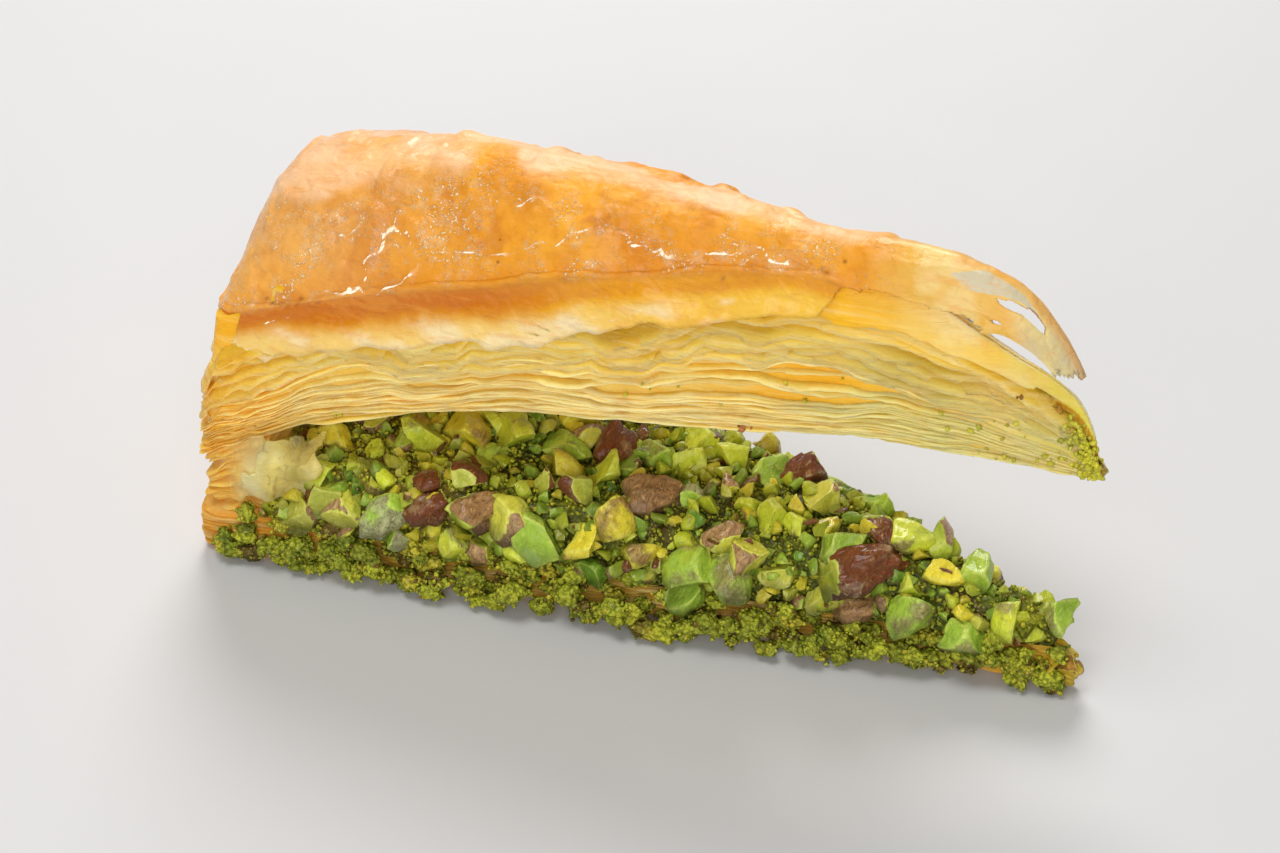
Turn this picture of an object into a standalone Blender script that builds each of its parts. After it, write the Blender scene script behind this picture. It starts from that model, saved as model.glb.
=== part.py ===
"""Carrot slice baklava: a long wedge of filo whose puffed top has sprung open over its pistachio filling.

The slice lies on its underside with the wide browned rim at -X and the thin tip at +X. Three pieces make
it: the flat base pastry with its raised heel at the rim, the heap of chopped pistachio on the base, and
the puffed top pastry, which rests on the heel and rises over the filling like an open jaw.
"""

import math
import random

import bmesh
import bpy
from mathutils import Euler, Vector, noise

MM = 0.001
GAP = 0.3 * MM
WELD = 0.02 * MM
FUSED_WELD = 0.001 * MM
CREASE_ANGLE = math.radians(30)

# The slice in plan: a sector of a round tray bake.
SLICE_LENGTH = 150 * MM
SLICE_ANGLE = math.radians(22.5)
TIP_X = SLICE_LENGTH / 2

# Base pastry and its heel.
BASE_HEIGHT = 8 * MM
BASE_TIP_WIDTH = 2.6 * MM
BASE_TIP_CUT = 1.5 * MM
BASE_TIP_FALL = 0.22
HEEL_LENGTH = 14 * MM
HEEL_SETBACK = 1.5 * MM
HEEL_BURIAL = 2 * MM

# Pistachio filling.
FILLING_SETBACK = -1.0 * MM
FILLING_TIP = 7 * MM
FILLING_TOP = 20 * MM
FILLING_TIP_TOP = 14 * MM
KERNEL_LENGTH = 11 * MM
KERNEL_SPACING = 6.2 * MM
CRUMB_SPACING = 4 * MM
NUT_FLOOR = 11 * MM
KERNEL_COUNT = 80
CRUMB_SIZE = 2.6 * MM
FILLING_CRUMB_COUNT = 24
BASE_CRUMB_COUNT = 50
BASE_CRUMB_SWELL = 5.5 * MM

# Top pastry: its underside rises from the heel and levels out.
LID_ANGLE = math.radians(20.5)
LID_SETBACK = 0.4 * MM
LID_TIP_WIDTH = 2.4 * MM
LID_TIP_CUT = 1.5 * MM
LID_HEEL_HEIGHT = 17 * MM
LID_RISE = 27 * MM
LID_RISE_LENGTH = 38 * MM
LID_ARCH = 1.3 * MM
LID_THICKNESS = 41 * MM
LID_THINNING = 0.09
LID_RIM_PUFF = 4 * MM
LID_PUFF_LENGTH = 9 * MM
LID_FACE_LEAN = 5.0 * MM
LID_RIM_LEAN = 3.6 * MM
LID_HIP = 22 * MM
DOME_SIDE_POWER = 2.5
DOME_RIM_POWER = 6.0
SHEET_COUNT = 7
SHEET_RELIEF = 1.1 * MM
CRUST_SHARE_AT_RIM = 0.58
CRUST_SHARE_AT_TIP = 0.96
CRUST_SHARE_SPAN = (34 * MM, 124 * MM)

# Torn end of the crust: a tongue that stands over the lower block of layers.
TEAR_START = 108 * MM
BLOCK_TOP = 70 * MM
BLOCK_SLOPE = 0.52
BLOCK_END_DROP = 16 * MM
BLOCK_END = 142 * MM
TONGUE_START = 100 * MM
TONGUE_END = 144.5 * MM
TONGUE_HEIGHT = 76 * MM
TONGUE_BEND = 118 * MM
TONGUE_DROOP = 16.5 * MM
TONGUE_FRONT_DROP = 7.5 * MM
TONGUE_THICKNESS = 1.2 * MM
TONGUE_BURIAL = 1.0 * MM
SLOT_SPAN = (126 * MM, 138 * MM)
SLOT_SIDES = (-0.5, -0.2)
FINGER_END = 131 * MM
STRIP_END = 141 * MM

# How finely each piece is divided.
ARC_STEPS = 10
BASE_STEPS = 22
HEEL_STEPS = 5
FILLING_STEPS = 16
LID_STEPS = 34
TONGUE_LONG_STEPS = 16
TONGUE_CROSS_STEPS = 8

# Small unevenness of the baked surfaces.
BASE_WAVER = 0.5 * MM
FILLING_UNEVENNESS = 0.9 * MM
CRUST_WRINKLE = 0.7 * MM
CRUST_LIP = 1.4 * MM
SHEET_WAVE = 0.07
CORNER_REACH = 12 * MM


def smooth_step(value, low, high):
    """Ease from 0 at low to 1 at high."""
    share = min(max((value - low) / (high - low), 0.0), 1.0)
    return share * share * (3 - 2 * share)


def mix(low, high, share):
    return low + (high - low) * share


def ripple(along, across, seed):
    """Smooth noise between about -1 and 1 for a place on a surface, in steps of its own scale."""
    return 1.8 * noise.noise(Vector((along, across, seed)))


def station_of(point):
    """Distance from the rim towards the tip."""
    return SLICE_LENGTH - math.hypot(point.x - TIP_X, point.y)


def half_width(reach, angle, tip_width=0.0):
    """Half the width of a wedge with a blunt tip, at a distance from the tip."""
    if tip_width == 0.0:
        return reach * math.tan(angle / 2)
    return reach * math.tan(angle / 2) + tip_width / 2 * (1 - 0.6 * math.exp(-reach / tip_width))


def plan_point(reach, lateral, height=0.0):
    """Point at a distance from the tip, off to one side of the slice's middle."""
    return Vector((TIP_X - math.sqrt(max(reach * reach - lateral * lateral, 0.0)), lateral, height))


def sector(inner, outer, angle, tip_width, hips, side_steps, inner_steps=2):
    """Outline of a wedge between two distances from the tip, with the spine point that faces each one.

    It runs along the front side from the tip to the rim, round the rim, back along the far side and
    round the inner end. The first point comes again at the end, so that a skin closes on itself. The
    hips say how far the spine stays away from the inner and the outer end.
    """
    low = inner + hips[0]
    high = outer - hips[1]
    places = [(mix(inner, outer, step / side_steps), -1.0) for step in range(side_steps)]
    places += [(outer, mix(-1.0, 1.0, step / ARC_STEPS)) for step in range(ARC_STEPS)]
    places += [(mix(outer, inner, step / side_steps), 1.0) for step in range(side_steps)]
    places += [(inner, mix(1.0, -1.0, step / inner_steps)) for step in range(inner_steps + 1)]
    outline = []
    for reach, share in places:
        lateral = share * half_width(reach, angle, tip_width)
        spine = Vector((TIP_X - min(max(reach, low), high), 0.0, 0.0))
        outline.append((plan_point(reach, lateral), spine))
    return outline


def soften_corners(outline, reach_from_rim, rounds):
    """Round the plan's corners near the rim by drawing each point towards its neighbours."""
    points = [edge for edge, _spine in outline]
    for _ in range(rounds):
        drawn = [point.copy() for point in points]
        for index in range(1, len(points) - 1):
            if station_of(points[index]) < reach_from_rim:
                drawn[index] = (points[index - 1] + 2 * points[index] + points[index + 1]) / 4
        points = drawn
    return [(point, spine) for point, (_edge, spine) in zip(points, outline)]


def skin(outline, rows, place):
    """Closed skin over an outline: its rows climb from the spine, over the edge, and back to the spine."""
    shell = bmesh.new()
    columns = len(outline) - 1
    bmesh.ops.create_grid(shell, x_segments=columns, y_segments=len(rows) - 1, size=1.0)
    for vertex in shell.verts:
        column = round((vertex.co.x + 1) / 2 * columns)
        row = round((vertex.co.y + 1) / 2 * (len(rows) - 1))
        edge, spine = outline[column % columns]
        vertex.co = place(edge, spine, column % columns / columns, rows[row])
    bmesh.ops.remove_doubles(shell, verts=shell.verts, dist=WELD)
    bmesh.ops.dissolve_degenerate(shell, edges=shell.edges, dist=WELD)
    bmesh.ops.triangulate(shell, faces=shell.faces)
    bmesh.ops.recalc_face_normals(shell, faces=shell.faces)
    return shell


def pulled_in(edge, spine, inset, share=0.0):
    """Point moved from the outline towards the spine, by a share of the way or by a distance."""
    distance = (spine - edge).length
    if distance < WELD:
        return spine.copy()
    pull = max(share, min(inset / distance, 0.5))
    return edge.lerp(spine, pull)


def make_object(name, shell, material):
    """Turn a bmesh into a named object with its material."""
    mesh = bpy.data.meshes.new(name)
    shell.to_mesh(mesh)
    shell.free()
    mesh.materials.append(material)
    thing = bpy.data.objects.new(name, mesh)
    bpy.context.scene.collection.objects.link(thing)
    return thing


def make_material(name, colour, roughness):
    material = bpy.data.materials.new(name)
    material.use_nodes = True
    surface = material.node_tree.nodes["Principled BSDF"]
    surface.inputs["Base Color"].default_value = (*colour, 1.0)
    surface.inputs["Roughness"].default_value = roughness
    surface.inputs["Metallic"].default_value = 0.0
    return material


def keep_largest(shell):
    """Drop loose scraps and the walls of sealed pockets, and keep the one outer body."""
    shell.verts.ensure_lookup_table()
    unseen = set(shell.verts)
    bodies = []
    while unseen:
        stack = [unseen.pop()]
        body = set(stack)
        while stack:
            for edge in stack.pop().link_edges:
                for vertex in edge.verts:
                    if vertex in unseen:
                        unseen.discard(vertex)
                        body.add(vertex)
                        stack.append(vertex)
        bodies.append(body)
    bodies.sort(key=len, reverse=True)
    scrap = [vertex for body in bodies[1:] for vertex in body]
    bmesh.ops.delete(shell, geom=scrap, context="VERTS")


def fuse(core, pieces):
    """Join pieces to a core in one Boolean union, then drop what the join leaves loose."""
    bundle = bpy.data.collections.new(core.name + "_pieces")
    bpy.context.scene.collection.children.link(bundle)
    for piece in pieces:
        bpy.context.scene.collection.objects.unlink(piece)
        bundle.objects.link(piece)
    union = core.modifiers.new("join", "BOOLEAN")
    union.operation = "UNION"
    union.operand_type = "COLLECTION"
    union.collection = bundle
    union.solver = "EXACT"
    graph = bpy.context.evaluated_depsgraph_get()
    joined = bpy.data.meshes.new_from_object(core.evaluated_get(graph))
    core.modifiers.remove(union)
    for piece in pieces:
        bpy.data.objects.remove(piece, do_unlink=True)
    bpy.data.collections.remove(bundle)
    shell = bmesh.new()
    shell.from_mesh(joined)
    bmesh.ops.remove_doubles(shell, verts=shell.verts, dist=FUSED_WELD)
    bmesh.ops.dissolve_degenerate(shell, edges=shell.edges, dist=FUSED_WELD)
    bmesh.ops.triangulate(shell, faces=shell.faces)
    keep_largest(shell)
    shell.to_mesh(core.data)
    shell.free()
    bpy.data.meshes.remove(joined)
    core.data.shade_smooth()
    core.data.set_sharp_from_angle(angle=CREASE_ANGLE)


def slice_off(shell, point, normal):
    """Cut a closed shape by a plane, drop the side the normal points to, and close the cut."""
    everything = shell.verts[:] + shell.edges[:] + shell.faces[:]
    cut = bmesh.ops.bisect_plane(
        shell, geom=everything, dist=1e-7, plane_co=point, plane_no=normal, clear_outer=True
    )
    rim = [part for part in cut["geom_cut"] if isinstance(part, bmesh.types.BMEdge)]
    if rim:
        bmesh.ops.edgeloop_fill(shell, edges=rim)


def lump(centre, size, rng, turn, chopped=False):
    """Rough nut kernel or crumb: a small faceted stone, chopped ones with flat knife cuts."""
    shell = bmesh.new()
    bmesh.ops.create_icosphere(shell, subdivisions=1, radius=1.0)
    for vertex in shell.verts:
        vertex.co *= rng.uniform(0.82, 1.1)
    if chopped:
        direction = Vector((rng.choice((-1, 1)), rng.uniform(-0.6, 0.6), rng.uniform(-0.5, 0.5))).normalized()
        slice_off(shell, direction * rng.uniform(0.25, 0.6), direction)
    for vertex in shell.verts:
        vertex.co = Vector((vertex.co.x * size.x, vertex.co.y * size.y, vertex.co.z * size.z))
        vertex.co.rotate(turn)
        vertex.co += centre
    return shell


def lid_underside(station):
    """Height of the top pastry's underside, from the heel to the open end."""
    arch = smooth_step(station, 85 * MM, 110 * MM) * (1 - smooth_step(station, 128 * MM, 146 * MM))
    rise = LID_RISE * (1 - math.exp(-max(station, 0.0) / LID_RISE_LENGTH))
    return LID_HEEL_HEIGHT + rise + LID_ARCH * arch


def whole_crest(station):
    """Height of the crust along the middle, as if it weren't torn."""
    puff = LID_RIM_PUFF * math.exp(-max(station, 0.0) / LID_PUFF_LENGTH)
    rise = LID_RISE * (1 - math.exp(-max(station, 0.0) / LID_RISE_LENGTH))
    return LID_HEEL_HEIGHT + rise + LID_THICKNESS + puff - LID_THINNING * station


def lid_crest(station):
    """Height of the top pastry along the middle, cut down past the tear to the block of layers below."""
    crust = whole_crest(station)
    past_end = max(station - BLOCK_END, 0.0) / (SLICE_LENGTH - BLOCK_END)
    block = BLOCK_TOP - BLOCK_SLOPE * (station - TEAR_START - 12 * MM) - BLOCK_END_DROP * past_end ** 2
    return mix(crust, min(crust, block), smooth_step(station, TEAR_START, TEAR_START + 12 * MM))


def crust_share(station):
    """Share of the lid's thickness that lies below the crust's edge."""
    return mix(CRUST_SHARE_AT_RIM, CRUST_SHARE_AT_TIP, smooth_step(station, *CRUST_SHARE_SPAN))


def dome_rise(point):
    """How far the crust has risen at a place in plan: 0 at its edge, 1 along the middle."""
    reach = SLICE_LENGTH - station_of(point)
    full_width = half_width(reach, LID_ANGLE, LID_TIP_WIDTH)
    width = full_width - min(LID_FACE_LEAN, full_width / 2)
    from_side = min(max(1 - abs(point.y) / width, 0.0), 1.0)
    from_rim = min(max((SLICE_LENGTH - LID_SETBACK - LID_RIM_LEAN - reach) / LID_HIP, 0.0), 1.0)
    return (1 - (1 - from_side) ** DOME_SIDE_POWER) * (1 - (1 - from_rim) ** DOME_RIM_POWER)


def filling_crest(station):
    return mix(FILLING_TOP, FILLING_TIP_TOP, smooth_step(station, 100 * MM, 144 * MM))


def make_base(material):
    """Flat base pastry: pressed sheets with a rounded browned rim, a heel, and green crumbs on its sides."""
    hips = (2 * MM, 20 * MM)
    outline = sector(BASE_TIP_CUT, SLICE_LENGTH, SLICE_ANGLE, BASE_TIP_WIDTH, hips, BASE_STEPS)
    # Each row is a height share, an inset and a share of the way to the spine.
    rows = [(0.0, 0.0, 1.0), (0.0, 1.0, 0.0), (0.25, 0.2, 0.0), (0.45, 1.0, 0.0), (0.6, 0.0, 0.0),
            (0.8, 0.6, 0.0), (1.0, 1.8, 0.0), (1.0, 0.0, 1.0)]

    def place(edge, spine, around, row):
        height, inset, share = row
        waver = ripple(around * 40, height * 5, 3.0) * (BASE_WAVER if 0 < height < 1 else 0.0)
        point = pulled_in(edge, spine, inset * MM + waver, share)
        tip_fall = BASE_TIP_FALL * smooth_step(station_of(point), 143 * MM, 149 * MM)
        point.z = BASE_HEIGHT * height * (1 - tip_fall)
        return point

    return make_object("base_pastry", skin(outline, rows, place), material)


def make_heel(material):
    """Raised stack of sheets at the rim that carries the top pastry."""
    outer = SLICE_LENGTH - HEEL_SETBACK
    hips = (4 * MM, 4 * MM)
    outline = sector(SLICE_LENGTH - HEEL_LENGTH, outer, SLICE_ANGLE, 0.0, hips, HEEL_STEPS, ARC_STEPS)
    rows = [(0.0, 0.0, 1.0), (0.0, 2.5, 0.0), (0.3, 2.5, 0.0), (0.42, 1.2, 0.0), (0.55, 2.2, 0.0),
            (0.7, 1.0, 0.0), (0.85, 2.0, 0.0), (1.0, 1.6, 0.0), (1.0, 0.0, 0.6), (1.0, 0.0, 1.0)]

    def place(edge, spine, around, row):
        height, inset, share = row
        inner_face = station_of(edge) > HEEL_LENGTH - 0.1 * MM
        point = pulled_in(edge, spine, 0.0 if inner_face else inset * MM, share)
        point.z = mix(HEEL_BURIAL, lid_underside(station_of(point)) - GAP, height)
        return point

    return make_object("heel", skin(outline, rows, place), material)


def base_crumbs(material, rng):
    """Clumps of ground pistachio that cling to the base's two long sides."""
    crumbs = []
    for index in range(BASE_CRUMB_COUNT):
        front = index % 3 < 2
        reach = mix(8, 134, (index + rng.random()) / BASE_CRUMB_COUNT) * MM
        lateral = half_width(reach, SLICE_ANGLE, BASE_TIP_WIDTH)
        swell = math.sin(math.pi * min(reach / (135 * MM), 1.0)) * (BASE_CRUMB_SWELL if front else 1.6 * MM)
        radius = CRUMB_SIZE * rng.uniform(0.8, 1.3)
        lateral += rng.uniform(-0.1, 0.9) * swell
        low = radius + 0.1 * MM
        centre = plan_point(reach, -lateral if front else lateral, rng.uniform(low, BASE_HEIGHT - low))
        size = Vector((radius * rng.uniform(1.0, 1.5), radius, radius * 0.9))
        crumb = lump(centre, size, rng, Euler((0, 0, rng.uniform(0, 6.3))))
        crumbs.append(make_object("base_crumb", crumb, material))
    return crumbs


def make_filling_core(material):
    """Bare mound under the nuts."""
    outer = SLICE_LENGTH - HEEL_LENGTH - GAP
    outline = sector(FILLING_TIP, outer, SLICE_ANGLE, 0.0, (6 * MM, 8 * MM), FILLING_STEPS)
    floor = BASE_HEIGHT + GAP
    rows = [(0.0, 0.0, 1.0), (0.0, 0.0, 0.0), (0.55, 0.8, 0.0), (0.88, 2.6, 0.0), (0.98, 0.0, 0.5),
            (1.0, 0.0, 1.0)]

    def place(edge, spine, around, row):
        height, inset, share = row
        heel_side = station_of(edge) < SLICE_LENGTH - outer + 0.1 * MM
        setback = 0.0 if heel_side else FILLING_SETBACK + inset * MM
        point = pulled_in(edge, spine, setback, share)
        crest = filling_crest(station_of(point))
        unevenness = ripple(point.x * 90, point.y * 90, 8.0) * FILLING_UNEVENNESS
        point.z = floor + (crest - floor) * height + (unevenness if height > 0.2 else 0.0)
        return point

    return make_object("pistachio_filling", skin(outline, rows, place), material)


def scatter_on(core, count, spacing, rng):
    """Spread places evenly over the mound's slopes and top, each no nearer to another than the spacing."""
    shell = bmesh.new()
    shell.from_mesh(core.data)
    upper_faces = [face for face in shell.faces if face.calc_center_median().z > NUT_FLOOR]
    open_faces = [face for face in upper_faces if face.normal.z > -0.3]
    areas = [face.calc_area() for face in open_faces]
    places = []
    for _ in range(count * 40):
        if len(places) == count:
            break
        face = rng.choices(open_faces, areas)[0]
        first, second, third = (vertex.co for vertex in face.verts)
        along, across = sorted((rng.random(), rng.random()))
        spot = first * along + second * (across - along) + third * (1 - across)
        if all((spot - other[0]).length > spacing for other in places):
            places.append((spot, face.normal.copy()))
    shell.free()
    return places


def filling_pieces(core, material, rng):
    """Chopped kernels, largest first, then clumps of crumbs between them."""
    pieces = []
    kernel_places = scatter_on(core, KERNEL_COUNT, KERNEL_SPACING, rng)
    crumb_places = scatter_on(core, FILLING_CRUMB_COUNT, CRUMB_SPACING, rng)
    for index, (spot, normal) in enumerate(kernel_places + crumb_places):
        kernel = index < len(kernel_places)
        if kernel:
            length = KERNEL_LENGTH / 2 * rng.uniform(0.62, 1.05)
            size = Vector((length, length * rng.uniform(0.6, 0.75), length * rng.uniform(0.5, 0.65)))
        else:
            radius = CRUMB_SIZE * rng.uniform(0.7, 1.1)
            size = Vector((radius, radius, radius))
        turn = normal.to_track_quat("Z", "Y").to_euler()
        spin = Euler((rng.uniform(-0.4, 0.4), rng.uniform(-0.4, 0.4), rng.uniform(0, 6.3)))
        spin.rotate(turn)
        centre = spot + normal * size.z * rng.uniform(0.1, 0.45)
        shell = lump(centre, size, rng, spin, chopped=kernel)
        floor = BASE_HEIGHT + GAP + rng.uniform(0.02, 0.3) * MM
        slice_off(shell, Vector((0, 0, floor)), Vector((0, 0, -1)))
        heel_face = plan_point(SLICE_LENGTH - HEEL_LENGTH - GAP - rng.uniform(0.02, 0.3) * MM, centre.y)
        slice_off(shell, heel_face, Vector((heel_face.x - TIP_X, heel_face.y, 0)).normalized())
        top = max(vertex.co.z for vertex in shell.verts)
        if top > lid_underside(station_of(centre)) - 1.2 * MM:
            shell.free()
            continue
        pieces.append(make_object("nut", shell, material))
    return pieces


def lid_rows():
    """Rows of the top pastry: the underside, the ledges of its cut faces, and the domed crust."""
    rows = [("under", 0.0, 1.0), ("under", 0.0, 0.6), ("under", 0.0, 0.25)]
    for sheet in range(SHEET_COUNT):
        rows.append(("ledge", (sheet + 0.08) / SHEET_COUNT, -1.0))
        rows.append(("ledge", (sheet + 0.72) / SHEET_COUNT, 1.0))
    rows.append(("lip", 1.0, 0.0))
    rows += [("dome", share, 0.0) for share in (0.1, 0.24, 0.42, 0.68, 1.0)]
    return rows


def make_lid(material):
    """Puffed top pastry: a thick arched wedge with layered faces under a domed crust."""
    outer = SLICE_LENGTH - LID_SETBACK
    outline = sector(LID_TIP_CUT, outer, LID_ANGLE, LID_TIP_WIDTH, (LID_TIP_CUT, LID_HIP), LID_STEPS)
    outline = soften_corners(outline, CORNER_REACH, 2)

    def place(edge, spine, around, row):
        kind, level, side = row
        fade = 1 - math.exp(-max((spine - edge).length - 0.2 * MM, 0.0) / (1.5 * MM))
        along = around * LID_STEPS
        if kind == "under":
            point = edge.lerp(spine, side)
            station = station_of(point)
            point.z = lid_underside(station)
            return point
        rim_side = 1 - smooth_step(station_of(edge), LID_SETBACK, LID_SETBACK + 16 * MM)
        full_lean = mix(LID_FACE_LEAN, LID_RIM_LEAN, rim_side)
        if kind == "dome":
            start = pulled_in(edge, spine, full_lean - 0.6 * MM)
            point = start.lerp(spine, level)
            station = station_of(point)
            low = lid_underside(station)
            share = crust_share(station)
            rise = share + (1 - share) * dome_rise(point)
            wrinkle = ripple(point.x * 55, point.y * 75, 5.0) * CRUST_WRINKLE * fade
            point.z = low + (lid_crest(station) - low) * rise + wrinkle
            return point
        lean = full_lean * level ** 1.3
        relief = SHEET_RELIEF * (0.45 * side + 0.8 * ripple(along * 0.8, level * 9, 1.0))
        if kind == "lip":
            relief = -CRUST_LIP
        point = pulled_in(edge, spine, max(lean + relief, 0.0))
        station = station_of(point)
        low = lid_underside(station)
        wave = SHEET_WAVE * ripple(along * 0.55, level * 4, 2.0) * fade * min(level * 4, 1.0)
        wave *= 0.0 if kind == "lip" else 1.0
        point.z = low + (lid_crest(station) - low) * crust_share(station) * min(level + wave, 1.0)
        return point

    return make_object("top_pastry", skin(outline, lid_rows(), place), material)


def make_tongue(material):
    """Torn end of the crust: a thin arched sheet with a slot and ragged strips."""
    shell = bmesh.new()
    bmesh.ops.create_grid(shell, x_segments=TONGUE_LONG_STEPS, y_segments=TONGUE_CROSS_STEPS, size=1.0)
    for vertex in shell.verts:
        share = (vertex.co.x + 1) / 2
        side = vertex.co.y
        station = mix(TONGUE_START, TONGUE_END, share)
        reach = SLICE_LENGTH - station
        width = half_width(reach, LID_ANGLE, LID_TIP_WIDTH)
        freed = smooth_step(station, TONGUE_START, TEAR_START + 12 * MM)
        point = plan_point(reach, side * mix(width - LID_FACE_LEAN, width, freed))
        low = lid_underside(station)
        rise = mix(crust_share(station), 1.0, dome_rise(point))
        on_crust = low + (whole_crest(station) - low) * rise - TONGUE_BURIAL * (1 - freed)
        bend = max((station - TONGUE_BEND) / (TONGUE_END - TONGUE_BEND), 0.0)
        fall = TONGUE_FRONT_DROP * (1 - 0.4 * bend) * abs(side) ** 1.7
        torn = TONGUE_HEIGHT - TONGUE_DROOP * bend ** 3.2 - fall
        point.z = mix(on_crust, torn, freed)
        vertex.co = point
    doomed = []
    for face in shell.faces:
        centre = face.calc_center_median()
        station = station_of(centre)
        side = centre.y / half_width(SLICE_LENGTH - station, LID_ANGLE, LID_TIP_WIDTH)
        slot = SLOT_SPAN[0] < station < SLOT_SPAN[1] and SLOT_SIDES[0] < side < SLOT_SIDES[1]
        short_finger = station > FINGER_END and side < 1.5 * SLOT_SIDES[0]
        short_strip = station > STRIP_END and side < SLOT_SIDES[1]
        if slot or short_finger or short_strip:
            doomed.append(face)
    bmesh.ops.delete(shell, geom=doomed, context="FACES")
    bmesh.ops.recalc_face_normals(shell, faces=shell.faces)
    bmesh.ops.solidify(shell, geom=shell.faces[:], thickness=TONGUE_THICKNESS)
    bmesh.ops.triangulate(shell, faces=shell.faces)
    bmesh.ops.recalc_face_normals(shell, faces=shell.faces)
    return make_object("tongue", shell, material)


def main():
    for thing in list(bpy.data.objects):
        bpy.data.objects.remove(thing, do_unlink=True)
    rng = random.Random(11)
    pastry = make_material("base pastry", (0.62, 0.33, 0.07), 0.45)
    nuts = make_material("pistachio", (0.26, 0.36, 0.03), 0.5)
    crust = make_material("golden crust", (0.78, 0.42, 0.09), 0.35)
    base = make_base(pastry)
    fuse(base, [make_heel(pastry)] + base_crumbs(pastry, rng))
    filling = make_filling_core(nuts)
    fuse(filling, filling_pieces(filling, nuts, rng))
    lid = make_lid(crust)
    fuse(lid, [make_tongue(crust)])


main()
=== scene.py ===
"""Carrot slice baklava: puffed filo sprung open over chopped pistachio, dressed for a studio render.

The slice lies with its wide browned rim at -X, its thin tip at +X and its flat underside at Z = 0. Every
length in the modelling code is in millimetres and becomes metres when it is written into a mesh.
"""

import math
from itertools import product

import bmesh
import bpy
import numpy as np
from bpy.props import FloatProperty, FloatVectorProperty, IntProperty, PointerProperty
from mathutils import Euler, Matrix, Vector
from mathutils.bvhtree import BVHTree


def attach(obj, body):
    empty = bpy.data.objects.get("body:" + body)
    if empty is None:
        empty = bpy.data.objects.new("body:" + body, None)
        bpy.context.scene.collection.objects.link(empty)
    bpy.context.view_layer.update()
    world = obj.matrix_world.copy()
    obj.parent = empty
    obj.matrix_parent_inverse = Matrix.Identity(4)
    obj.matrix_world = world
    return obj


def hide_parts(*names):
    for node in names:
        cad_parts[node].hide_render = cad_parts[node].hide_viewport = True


bl_info = {
    "name": "Carrot slice baklava",
    "version": (1, 0, 0),
    "blender": (4, 5, 0),
    "location": "View3D > Sidebar > Baklava",
    "description": "Builds a wedge of pistachio baklava around its packed solids",
    "category": "Add Mesh",
}

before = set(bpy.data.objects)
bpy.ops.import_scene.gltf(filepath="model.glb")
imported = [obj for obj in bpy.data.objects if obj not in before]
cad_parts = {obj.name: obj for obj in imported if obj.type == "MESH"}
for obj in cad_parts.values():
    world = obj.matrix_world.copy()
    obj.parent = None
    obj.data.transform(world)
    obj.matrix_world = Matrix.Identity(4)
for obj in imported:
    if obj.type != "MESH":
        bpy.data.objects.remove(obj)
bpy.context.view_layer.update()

MM = 0.001

# Plan of the slice: a sector of a round tray bake, measured from its tip.
SLICE_LENGTH = 150.0
TIP_X = SLICE_LENGTH / 2
SLICE_ANGLE = math.radians(22.5)
LID_ANGLE = math.radians(20.5)
LID_SETBACK = 0.4
LID_TIP_WIDTH = 2.4
BASE_TIP_WIDTH = 2.6
BASE_HEIGHT = 8.0
HEEL_LENGTH = 14.0
HEEL_SETBACK = 1.5

# Section of the top pastry.
LID_HEEL_HEIGHT = 17.0
LID_RISE = 27.0
LID_RISE_LENGTH = 38.0
LID_ARCH = 1.3
LID_THICKNESS = 41.0
LID_THINNING = 0.09
LID_RIM_PUFF = 4.0
LID_PUFF_LENGTH = 9.0
LID_FACE_LEAN = 5.0
LID_RIM_LEAN = 3.6
LID_HIP = 22.0
DOME_SIDE_POWER = 2.5
DOME_RIM_POWER = 6.0
CRUST_SHARE_AT_RIM = 0.58
CRUST_SHARE_AT_TIP = 0.96
CRUST_SHARE_SPAN = (34.0, 124.0)

# Edge of the crust in section: it rolls over its ridge, then runs on down the cut faces as a smooth skirt.
RIM_ROLL = 0.08
SIDE_ROLL = 0.17
RIDGE_PATH = [(0.0, 0.0, 0.0), (0.10, 0.40, 0.25), (0.18, 0.45, 0.8), (0.26, 0.1, 1.4)]
SKIRT_STAND = [(0.26, 0.7), (0.34, 0.6), (0.5, 0.7), (0.8, 1.0), (1.0, 1.2)]
SKIRT_LENGTH = 10.5
SKIRT_SHARE = 0.4

# Torn end of the crust and the block of layers below it.
TEAR_START = 108.0
TEAR_END = 120.0
BLOCK_TOP = 70.0
BLOCK_SLOPE = 0.52
BLOCK_END = 142.0
BLOCK_END_DROP = 16.0
TONGUE_START = 100.0
TONGUE_END = 144.5
TONGUE_HEIGHT = 76.0
TONGUE_BEND = 118.0
TONGUE_DROOP = 16.5
TONGUE_FRONT_DROP = 7.5

# Pistachio filling.
FILLING_TIP = 7.0
FILLING_TOP = 20.0
FILLING_TIP_TOP = 14.0

# Camera at the photograph's viewing angle.
PHOTO_SIZE = (1280, 853)
LENS = 85.0
SENSOR = 36.0
VIEW_AZIMUTH = math.radians(25.187)
VIEW_ELEVATION = math.radians(38.0)
VIEW_DISTANCE = 535.03
VIEW_TARGET = (-18.57, 31.30, 0.0)


# Sizes and colours a user would change.

def colour_field(name, description, default):
    return FloatVectorProperty(
        name=name, description=description, default=default, size=3, min=0, max=1, subtype="COLOR"
    )


def length_field(name, description, default, low, high):
    """A length, given in millimetres and kept in metres."""
    return FloatProperty(
        name=name, description=description, default=default * MM, min=low * MM, max=high * MM, unit="LENGTH"
    )


def count_field(name, description, default, low, high):
    return IntProperty(name=name, description=description, default=default, min=low, max=high)


class CrustSettings(bpy.types.PropertyGroup):
    """Golden crust and its syrup glaze."""

    thickness: length_field("Crust thickness", "Thickness of the baked top sheets", 0.9, 0.2, 2.0)
    colour: colour_field("Crust", "Golden brown of the baked crust", (0.94, 0.42, 0.03))
    brown: colour_field("Browned crust", "Darker mottles and edges", (0.58, 0.17, 0.010))


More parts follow.
